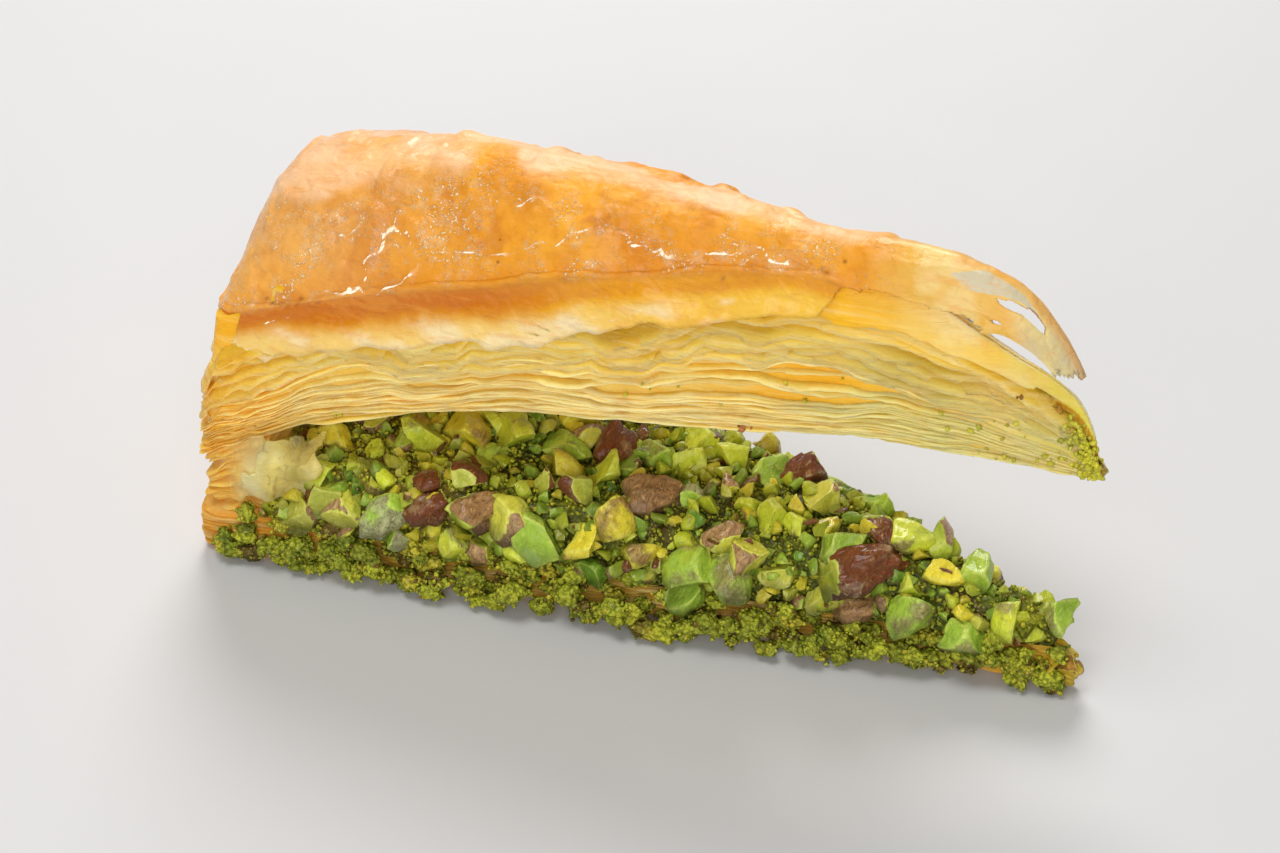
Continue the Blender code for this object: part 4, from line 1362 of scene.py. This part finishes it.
# Crumbs on the lid: pixel, spread in pixels, how many, colour.
LID_CRUMBS = [
    ((1090, 462), (8, 13), 190, (0.70, 0.64, 0.04)), ((1075, 435), (9, 10), 40, (0.66, 0.62, 0.05)),
    ((1060, 405), (2, 3), 5, (0.50, 0.24, 0.03)), ((1021, 397), (2, 1), 3, (0.40, 0.16, 0.03)),
    ((960, 440), (60, 14), 16, (0.62, 0.58, 0.05)), ((863, 443), (9, 2), 14, (0.46, 0.50, 0.02)),
    ((740, 428), (4, 2), 6, (0.46, 0.16, 0.05)), ((680, 390), (60, 22), 10, (0.60, 0.55, 0.04)),
    ((335, 417), (3, 2), 4, (0.66, 0.60, 0.04)), ((1040, 462), (24, 5), 20, (0.62, 0.56, 0.04)),
]

# Corners of the pale flap in the photograph: its left and its right edge, each from the foot up.
FLAP_LEFT = [(222, 504), (204, 450)]
FLAP_RIGHT = [(304, 506), (324, 440)]
FLAP_STAND = 2.6
FLAP_GRID = (70, 48)
FLAP_THICKNESS = 0.5 * MM

NUT_KINDS = {
    # Flesh, skin and how much skin is left.
    "green": ((0.32, 0.48, 0.04), (0.40, 0.36, 0.11), 0.25),
    "lime": ((0.58, 0.64, 0.035), (0.46, 0.40, 0.12), 0.2),
    "yellow": ((0.82, 0.68, 0.04), (0.62, 0.40, 0.10), 0.25),
    "deep": ((0.13, 0.29, 0.012), (0.20, 0.18, 0.05), 0.3),
    "brown": ((0.44, 0.46, 0.05), (0.24, 0.065, 0.018), 0.62),
    "purple": ((0.46, 0.56, 0.05), (0.48, 0.26, 0.10), 0.44),
    "silver": ((0.38, 0.58, 0.05), (0.58, 0.60, 0.28), 0.38),
    "tan": ((0.58, 0.56, 0.06), (0.56, 0.33, 0.14), 0.5),
    "husk": ((0.50, 0.34, 0.10), (0.28, 0.09, 0.022), 1.0),
    "amber": ((0.66, 0.44, 0.02), (0.52, 0.22, 0.03), 0.40),
}

# How often each of the first kinds turns up among the loose nuts.
LOOSE_CHANCES = (0.22, 0.30, 0.16, 0.08, 0.08, 0.04, 0.04, 0.08)
LEFT_CHANCES = (0.10, 0.26, 0.26, 0.02, 0.10, 0.04, 0.04, 0.18)

# The nuts left of this place lie in the lid's shade and are paler.
LEFT_NUTS_TO = -22.0
FULL_SPIN = 6.3
HUSKS = 46
CRUMB_CLUSTERS = 400

# Kernels that the photograph shows one by one: pixel, length and width in millimetres, turn, kind.
SEEN_KERNELS = [
    (860, 565, 15.0, 8.5, 10, "brown"), (728, 568, 9.5, 8.0, 80, "green"),
    (540, 532, 12.0, 7.5, 160, "green"), (465, 440, 11.0, 7.0, 0, "yellow"),
    (345, 505, 8.0, 6.5, 70, "tan"), (385, 515, 11.0, 7.0, 50, "silver"),
    (615, 455, 10.0, 7.0, 60, "brown"), (587, 540, 7.0, 6.0, 20, "yellow"),
    (655, 500, 11.0, 8.0, 10, "purple"), (690, 565, 9.0, 7.0, 30, "green"),
    (750, 555, 7.0, 7.0, 90, "tan"), (960, 560, 10.0, 7.0, 30, "lime"),
    (910, 608, 9.0, 7.0, 60, "green"), (965, 633, 8.0, 6.0, 0, "green"),
    (1025, 585, 9.0, 6.5, 120, "lime"), (800, 480, 8.0, 6.0, 10, "brown"),
    (880, 540, 7.0, 5.5, 20, "brown"), (940, 525, 9.0, 5.5, 10, "tan"),
    (420, 440, 9.0, 6.0, 100, "lime"), (515, 437, 10.0, 7.0, 60, "lime"),
    (565, 455, 9.0, 6.5, 120, "green"), (480, 510, 10.0, 7.0, 20, "purple"),
    (430, 510, 8.0, 6.0, 40, "brown"), (700, 450, 8.0, 6.0, 30, "lime"),
    (660, 460, 8.0, 6.0, 100, "green"), (735, 465, 8.0, 6.0, 50, "lime"),
    (820, 505, 9.0, 6.0, 0, "tan"), (775, 520, 8.0, 5.5, 120, "lime"),
    (855, 605, 8.0, 5.5, 10, "purple"), (1045, 650, 8.0, 6.0, 30, "lime"),
]


def loose_kind(rng, place):
    """Draw the kind of a loose nut, by its side of the heap."""
    kinds = list(NUT_KINDS.values())[:len(LOOSE_CHANCES)]
    return kinds[rng.choice(len(kinds), p=LEFT_CHANCES if place[0] < LEFT_NUTS_TO else LOOSE_CHANCES)]


def make_filling(settings, mound, material):
    """Chopped kernels set one by one, then more of them, angular bits and ground grains between."""
    rng = np.random.default_rng(5)
    tree = BVHTree.FromObject(mound, bpy.context.evaluated_depsgraph_get())
    kernels = Heap()
    taken = []
    for px, py, length, width, turn, kind in SEEN_KERNELS:
        place, direction = sight_line((px, py))
        hit, normal, _index, _distance = tree.ray_cast(place * MM, direction)
        if hit is None:
            continue
        skinned = kind in ("brown", "purple", "silver")
        cuts = half_cuts(rng) if skinned else chunk_cuts(rng, 4)
        shape = chopped_shape(rng, 4, cuts, wrinkles=0.15 if skinned else 0.06)
        if skinned:
            shape = (shape[0] * (1.0, -1.0, -1.0), *shape[1:])
        size = np.array([length / 2, width / 2, width / 2.2]) / shape[0].max(0)
        tilt = rng.uniform(-0.25, 0.25, 2)
        centre = np.array(hit) / MM + np.array(normal) * width * 0.22
        facing = turn_matrix(normal, math.radians(turn), tilt)
        kernels.add(shape, centre, facing, size, NUT_KINDS[kind], 1.18, 0.75)
        taken.append(centre)

    open_faces = Surface(mound.data, lambda middle, normal: (normal[:, 2] > -0.2) & (middle[:, 2] > 9.5))
    shapes = [chopped_shape(rng, 4, chunk_cuts(rng, 3 + index % 3), wrinkles=0.05) for index in range(22)]
    shapes += [chopped_shape(rng, 4, half_cuts(rng), wrinkles=0.08) for index in range(8)]
    places, normals = open_faces.spread(rng, settings.kernels, 3.9, taken)
    for place, normal in zip(places, normals):
        kind = loose_kind(rng, place)
        shape = shapes[rng.integers(len(shapes))]
        length = rng.uniform(1.9, 4.3)
        size = length * np.array([1.0, rng.uniform(0.65, 0.95), rng.uniform(0.55, 0.85)]) / shape[0].max(0)
        turn = turn_matrix(normal, rng.uniform(0, FULL_SPIN), rng.uniform(-0.6, 0.6, 2))
        centre = place + normal * length * rng.uniform(0.15, 0.55)
        kernels.add(shape, centre, turn, size, kind, rng.uniform(0.9, 1.3), 0.75)
    kernels.finish("pistachio_kernels", material, "pistachio")

    husks = Heap()
    halves = [chopped_shape(rng, 3, half_cuts(rng), (0.5, 0.5), 0.14) for _ in range(8)]
    places, normals = open_faces.spread(rng, HUSKS, 6.0)
    for place, normal in zip(places, normals):
        points, faces, skins, edges = halves[rng.integers(len(halves))]
        cupped = points - spots(0.0, 0.0, 0.9 * points[:, 1] ** 2)
        length = rng.uniform(2.2, 4.6)
        size = length / 2 * np.array([1.0, rng.uniform(0.7, 1.1), 0.4])
        turn = turn_matrix(normal, rng.uniform(0, FULL_SPIN), rng.uniform(-0.9, 0.9, 2))
        centre = place + normal * rng.uniform(1.2, 3.0)
        shape = (cupped * (1.0, -1.0, -1.0), faces, skins, edges)
        husks.add(shape, centre, turn, size, NUT_KINDS["husk"], rng.uniform(0.6, 1.3), 0.5)
    husks.finish("pistachio_husks", material, "pistachio")

    bits = Heap()
    small = [chopped_shape(rng, 2, chunk_cuts(rng, 4 + index % 2), (0.85, 0.8)) for index in range(20)]
    places, normals = open_faces.spread(rng, settings.bits, 1.6)
    for place, normal in zip(places, normals):
        kind = loose_kind(rng, place)
        shape = small[rng.integers(len(small))]
        length = rng.uniform(0.7, 1.8)
        size = length * rng.uniform(0.7, 1.2, 3) / shape[0].max(0)
        turn = turn_matrix(normal, rng.uniform(0, FULL_SPIN), rng.uniform(-1.2, 1.2, 2))
        centre = place + normal * length * rng.uniform(0.1, 0.9)
        bits.add(shape, centre, turn, size, kind, rng.uniform(0.65, 1.05), 0.6)
    bits.finish("pistachio_bits", material, "pistachio", math.radians(40))
    return open_faces


def grain_shapes(rng):
    """Little grains of ground nut."""
    points, faces = round_shape(1)
    shapes = []
    for _ in range(16):
        uneven = points * rng.uniform(0.6, 1.25, (len(points), 1)) * rng.uniform(0.7, 1.2, 3)
        shapes.append((uneven, faces, *no_skin(points)))
    return shapes


def grain_colour(rng, ripe):
    """Colour of one grain: lime and yellow where the nut is ripe, dull green or brown elsewhere."""
    share = np.clip(rng.random() + ripe, 0, 1)
    tint = mix(np.array((0.30, 0.33, 0.015)), np.array((0.66, 0.68, 0.04)), share)
    luck = rng.random()
    if luck < 0.14:
        tint = mix(tint, np.array((0.80, 0.62, 0.05)), 0.7)
    elif luck > 0.90 + 0.1 * ripe:
        tint = np.array((0.24, 0.12, 0.02)) * rng.uniform(0.5, 1.2)
    return tint, tint, 0.0


def scatter_grains(heap, rng, shapes, places, normals, sizes, lift, ripe=0.0):
    """Put grains on places."""
    for place, normal, size in zip(places, normals, sizes):
        turn = turn_matrix(normal, rng.uniform(0, FULL_SPIN), rng.uniform(-1.5, 1.5, 2))
        centre = place + normal * size * rng.uniform(-0.3, lift)
        heap.add(shapes[rng.integers(len(shapes))], centre, turn, size, grain_colour(rng, ripe))


def make_grains(settings, open_faces, material):
    """Ground nut over the filling."""
    rng = np.random.default_rng(8)
    heap = Heap()
    shapes = grain_shapes(rng)
    places, normals = open_faces.draw(rng, settings.grains)
    sizes = rng.uniform(0.2, 0.55, settings.grains)
    left = places[:, 0] < LEFT_NUTS_TO
    scatter_grains(heap, rng, shapes, places[~left], normals[~left], sizes[~left], 1.6)
    scatter_grains(heap, rng, shapes, places[left], normals[left], sizes[left], 2.6, 0.45)
    return heap.finish("pistachio_grains", material, "pistachio")


def make_base_crumbs(material):
    """Clusters of ground nut that cling to the base's long sides, each a knobbly clump under fine grains."""
    rng = np.random.default_rng(13)
    clumps = Heap()
    grains = Heap()
    shapes = grain_shapes(rng)
    ball, faces = round_shape(3)
    for index in range(CRUMB_CLUSTERS):
        front = index % 3 < 2
        reach = mix(5.0, 145.0, (index + rng.random()) / CRUMB_CLUSTERS)
        if math.sin(reach * 0.53) + math.sin(reach * 1.31) < -1.2:
            continue
        lateral = half_width(reach, SLICE_ANGLE, BASE_TIP_WIDTH)
        swell = math.sin(math.pi * min(reach / 146, 1.0)) * (4.6 if front else 1.4)
        off = lateral + rng.uniform(-0.35, 0.85) * swell
        radius = rng.uniform(0.8, 1.8) * (1.0 if front else 0.8)
        top = 10.2 if off < lateral + 0.4 * swell else 6.5
        middle = np.array([plan_x(reach, off), -off if front else off, rng.uniform(radius * 0.9, top)])
        shift = rng.uniform(-90, 90, 3)
        knobs = 1 + 0.28 * bumps(ball + shift, 0.75, 61) + 0.22 * bumps(ball + shift, 0.33, 62)
        ripe = rng.uniform(-0.35, 0.45)
        size = radius * np.array([rng.uniform(1.0, 1.5), 1.0, 0.9])
        points = ball * knobs[:, None]
        low = (points * size)[:, 2].min()
        middle[2] = max(middle[2], 0.05 - low)
        colours = grain_colour(rng, ripe)
        clumps.add((points, faces, *no_skin(ball)), middle, np.eye(3), size, colours, 0.95, 0.5)
        count = rng.integers(16, 30)
        picks = rng.integers(len(ball), size=count)
        sizes = rng.uniform(0.16, 0.5, count)
        places = points[picks] * size + middle
        places[:, 2] = np.maximum(places[:, 2], sizes * 1.25)
        scatter_grains(grains, rng, shapes, places, ball[picks], sizes, 1.1, ripe)
    clumps.finish("base_clumps", material, "base_pastry")
    return grains.finish("base_crumbs", material, "base_pastry")


def make_lid_crumbs(sheets, material):
    """Crumbs that cling to the lid's pointed end and its lower edge, where the photograph shows them."""
    rng = np.random.default_rng(21)
    trees = [BVHTree.FromObject(piece, bpy.context.evaluated_depsgraph_get()) for piece in sheets]
    heap = Heap()
    shapes = grain_shapes(rng)
    for (px, py), spread, count, colour in LID_CRUMBS:
        for _ in range(count):
            pixel = (px + rng.normal(0, spread[0]), py + rng.normal(0, spread[1]))
            place, direction = sight_line(pixel)
            hits = [tree.ray_cast(place * MM, direction) for tree in trees]
            hits = [found for found in hits if found[0] is not None]
            if not hits:
                continue
            hit, normal, _index, _distance = min(hits, key=lambda found: found[3])
            size = rng.uniform(0.2, 0.6)
            tint = np.asarray(colour) * rng.uniform(0.75, 1.2)
            centre = np.array(hit) / MM - np.array(direction) * size * rng.uniform(0.1, 0.9)
            turn = turn_matrix(normal, rng.uniform(0, FULL_SPIN))
            heap.add(shapes[rng.integers(len(shapes))], centre, turn, size, (tint, tint, 0.0))
    return heap.finish("lid_crumbs", material, "golden_crust")


def make_amber_tip(material):
    """Lumps of syrup-soaked pastry at the base's pointed end."""
    rng = np.random.default_rng(33)
    heap = Heap()
    for index in range(9):
        shape = chopped_shape(rng, 4, chunk_cuts(rng, 3), (0.85, 0.8), 0.09)
        length = rng.uniform(3.0, 5.2) * (1.0 - 0.04 * index)
        size = length / 2 * np.array([1.0, 0.8, 0.75]) / shape[0].max(0)
        centre = np.array([TIP_X - rng.uniform(2.2, 7.5), rng.uniform(-2.2, 1.6), rng.uniform(2.2, 6.2)])
        turn = turn_matrix((0, 0, 1), rng.uniform(0, FULL_SPIN), rng.uniform(-0.4, 0.4, 2))
        low = ((shape[0] * size) @ turn.T)[:, 2].min()
        centre[2] = max(centre[2], 0.05 - low)
        heap.add(shape, centre, turn, size, NUT_KINDS["amber"], rng.uniform(0.8, 1.1))
    return heap.finish("amber_tip", material, "base_pastry")


def make_flap(material):
    """Pale glossy sheet that lies over the front of the heel."""
    mesh, along, up, _number = grids("pale_flap", 1, *FLAP_GRID)
    left, right = np.array(FLAP_LEFT, float), np.array(FLAP_RIGHT, float)
    start = mix(left[0], left[1], up[:, None])
    end = mix(right[0], right[1], up[:, None])
    pixels = mix(start, end, along[:, None])
    plain = pixels_as_points(pixels)
    pixels += wobble(plain, 14.0, 71) * 5.0
    pixels += wobble(plain, 4.0, 75) * 1.2
    place, rays = sight_rays(pixels)
    half = SLICE_ANGLE / 2
    outward = np.array([math.sin(half), -math.cos(half), 0.0])
    reach = ((np.array([TIP_X, 0.0, 0.0]) - place) @ outward + FLAP_STAND) / (rays @ outward)
    points = place + rays * reach[:, None]
    bulge = np.sin(math.pi * along) * np.sin(math.pi * up)
    creases = bumps(points, 3.5, 73) * 0.45 + bumps(points * (1.0, 1.0, 0.4), 1.6, 77) * 0.3
    points += outward * (bulge * 1.2 - 1.4 * (1 - bulge) + creases)[:, None]
    write_points(mesh, points)
    tint = blend_colours((0.66, 0.60, 0.30), (0.74, 0.58, 0.16), chance_of(rough(points, 5.0, 74)))
    write_attribute(mesh, "tint", paint(tint, ((0.86, 0.54, 0.14), ease(-along, -0.5, -0.1))))
    merged = ease(along, 0.02, 0.4) * (1 - 0.5 * ease(up, 0.6, 1.0))
    write_attribute(mesh, "veil", np.clip(merged * (0.72 + 0.4 * bumps(points, 4.0, 78)), 0, 1))
    piece = make_piece("pale_flap", mesh, material)
    return thicken(piece, FLAP_THICKNESS, 0.0)


# Stage.

# Name, place, size, power and colour of each light, in metres and watts.
LIGHTS = [
    ("window_light", (-0.30, 0.62, 0.66), 0.5, 6.6, (1.0, 0.97, 0.95)),
    ("fill_light", (0.25, -0.85, 0.42), 0.9, 5.4, (1.0, 0.98, 0.95)),
    ("top_light", (-0.15, -0.20, 0.95), 0.45, 3.6, (1.0, 1.0, 1.0)),
]
SKY_COLOUR = (0.9, 0.95, 1.0, 1.0)
SKY_STRENGTH = 0.25
FLOOR_REACH = 3.0
FLOOR_GAP = 0.0002


def make_stage():
    """Pale floor, soft lights and the camera."""
    floor_mesh = bpy.data.meshes.new("floor")
    shell = bmesh.new()
    bmesh.ops.create_grid(shell, x_segments=2, y_segments=2, size=FLOOR_REACH)
    bmesh.ops.translate(shell, vec=(0, 0, -FLOOR_GAP), verts=shell.verts)
    shell.to_mesh(floor_mesh)
    shell.free()
    finish = Finish("pale_floor")
    finish.set(base_color=(0.60, 0.595, 0.59, 1.0), roughness=0.55 + finish.noise(30) * 0.1)
    floor_mesh.materials.append(finish.material)
    floor = bpy.data.objects.new("floor", floor_mesh)
    bpy.context.scene.collection.objects.link(floor)

    for light in LIGHTS:
        add_light(*light)
    world = bpy.data.worlds.new("studio")
    world.use_nodes = True
    world.node_tree.nodes["Background"].inputs["Color"].default_value = SKY_COLOUR
    world.node_tree.nodes["Background"].inputs["Strength"].default_value = SKY_STRENGTH
    bpy.context.scene.world = world

    camera = bpy.data.objects.new("camera", bpy.data.cameras.new("camera"))
    camera.data.lens = LENS
    camera.data.sensor_width = SENSOR
    camera.data.clip_start = 0.01
    place, _right, _up, forward = view_axes()
    camera.location = Vector(place) * MM
    camera.rotation_euler = Vector(forward).to_track_quat("-Z", "Y").to_euler()
    bpy.context.scene.collection.objects.link(camera)
    bpy.context.scene.camera = camera
    bpy.context.scene.view_settings.view_transform = "Standard"


def add_light(name, place, size, power, colour):
    light = bpy.data.lights.new(name, "AREA")
    light.shape = "DISK"
    light.size = size
    light.energy = power
    light.color = colour
    lamp = bpy.data.objects.new(name, light)
    lamp.location = place
    lamp.rotation_euler = Vector(place).to_track_quat("Z", "Y").to_euler()
    bpy.context.scene.collection.objects.link(lamp)


# Operators and panel.

class BAKLAVA_OT_stage(bpy.types.Operator):
    """Set the floor, the lights and the camera"""

    bl_idname = "baklava.stage"
    bl_label = "Stage"

    def execute(self, context):
        make_stage()
        return {"FINISHED"}


class BAKLAVA_OT_crust(bpy.types.Operator):
    """Build the domed crust with its torn tongue"""

    bl_idname = "baklava.crust"
    bl_label = "Crust"

    def execute(self, context):
        make_crust(context.scene.baklava_crust)
        return {"FINISHED"}


class BAKLAVA_OT_layers(bpy.types.Operator):
    """Build the filo sheets at the top pastry's faces"""

    bl_idname = "baklava.layers"
    bl_label = "Layers"

    def execute(self, context):
        settings = context.scene.baklava_layers
        outline = Outline(1.5, SLICE_LENGTH - LID_SETBACK, LID_ANGLE, LID_TIP_WIDTH, (1.5, LID_HIP), 560, 160)
        glossy = filo_finish("buttered_filo", 1.0, 500)
        dry = filo_finish("baked_filo", 0.45, 900)
        sheets = [make_lid_core(glossy)]
        first = 0
        for kind, count, material in (
            ("fine", settings.fine_sheets, dry),
            ("broad", settings.broad_sheets, glossy),
            ("hanging", settings.hanging_sheets, glossy),
        ):
            seed = 400 + first
            sheets.append(lid_sheets(settings, outline, first, count, kind, kind + "_sheets", material, seed))
            first += count
        make_lid_crumbs(sheets, nut_finish("lid_crumb_nut", 0.6, 1500))
        return {"FINISHED"}


class BAKLAVA_OT_base(bpy.types.Operator):
    """Build the base pastry, its heel and the crumbs on its sides"""

    bl_idname = "baklava.base"
    bl_label = "Base"

    def execute(self, context):
        base_sheets(context.scene.baklava_base)
        heel_sheets(filo_finish("heel_filo", 0.8, 600))
        crumb = nut_finish("crumb_nut", 0.25, 1500, True)
        make_base_crumbs(crumb)
        make_amber_tip(nut_finish("amber_pastry", 1.0, 900))
        make_flap(filo_finish("pale_filo", 1.0, 700, True))
        return {"FINISHED"}


class BAKLAVA_OT_filling(bpy.types.Operator):
    """Build the heap of chopped pistachio"""

    bl_idname = "baklava.filling"
    bl_label = "Filling"

    def execute(self, context):
        settings = context.scene.baklava_filling
        ground = nut_finish("ground_nut", 0.3, 1500, True)
        mound = make_mound(ground)
        open_faces = make_filling(settings, mound, nut_finish("chopped_nut", 1.0, 900))
        make_grains(settings, open_faces, ground)
        return {"FINISHED"}


class BAKLAVA_PT_panel(bpy.types.Panel):
    """Builds the slice piece by piece"""

    bl_idname = "BAKLAVA_PT_panel"
    bl_label = "Baklava"
    bl_space_type = "VIEW_3D"
    bl_region_type = "UI"
    bl_category = "Baklava"

    def draw(self, context):
        for name in GROUPS:
            settings = getattr(context.scene, name)
            box = self.layout.box()
            for field in type(settings).__annotations__:
                box.prop(settings, field)
            box.operator(name.replace("_", ".", 1))
        self.layout.operator("baklava.stage")


GROUPS = {
    "baklava_crust": CrustSettings,
    "baklava_layers": LayerSettings,
    "baklava_base": BaseSettings,
    "baklava_filling": FillingSettings,
}
CLASSES = (
    *GROUPS.values(), BAKLAVA_OT_stage, BAKLAVA_OT_crust, BAKLAVA_OT_layers, BAKLAVA_OT_base,
    BAKLAVA_OT_filling, BAKLAVA_PT_panel,
)


def register():
    for kind in CLASSES:
        bpy.utils.register_class(kind)
    for name, kind in GROUPS.items():
        setattr(bpy.types.Scene, name, PointerProperty(type=kind))


def unregister():
    for name in GROUPS:
        delattr(bpy.types.Scene, name)
    for kind in reversed(CLASSES):
        bpy.utils.unregister_class(kind)


def main():
    register()
    bpy.ops.baklava.stage()
    bpy.ops.baklava.crust()
    bpy.ops.baklava.layers()
    bpy.ops.baklava.base()
    bpy.ops.baklava.filling()


if __name__ == "__main__":
    main()
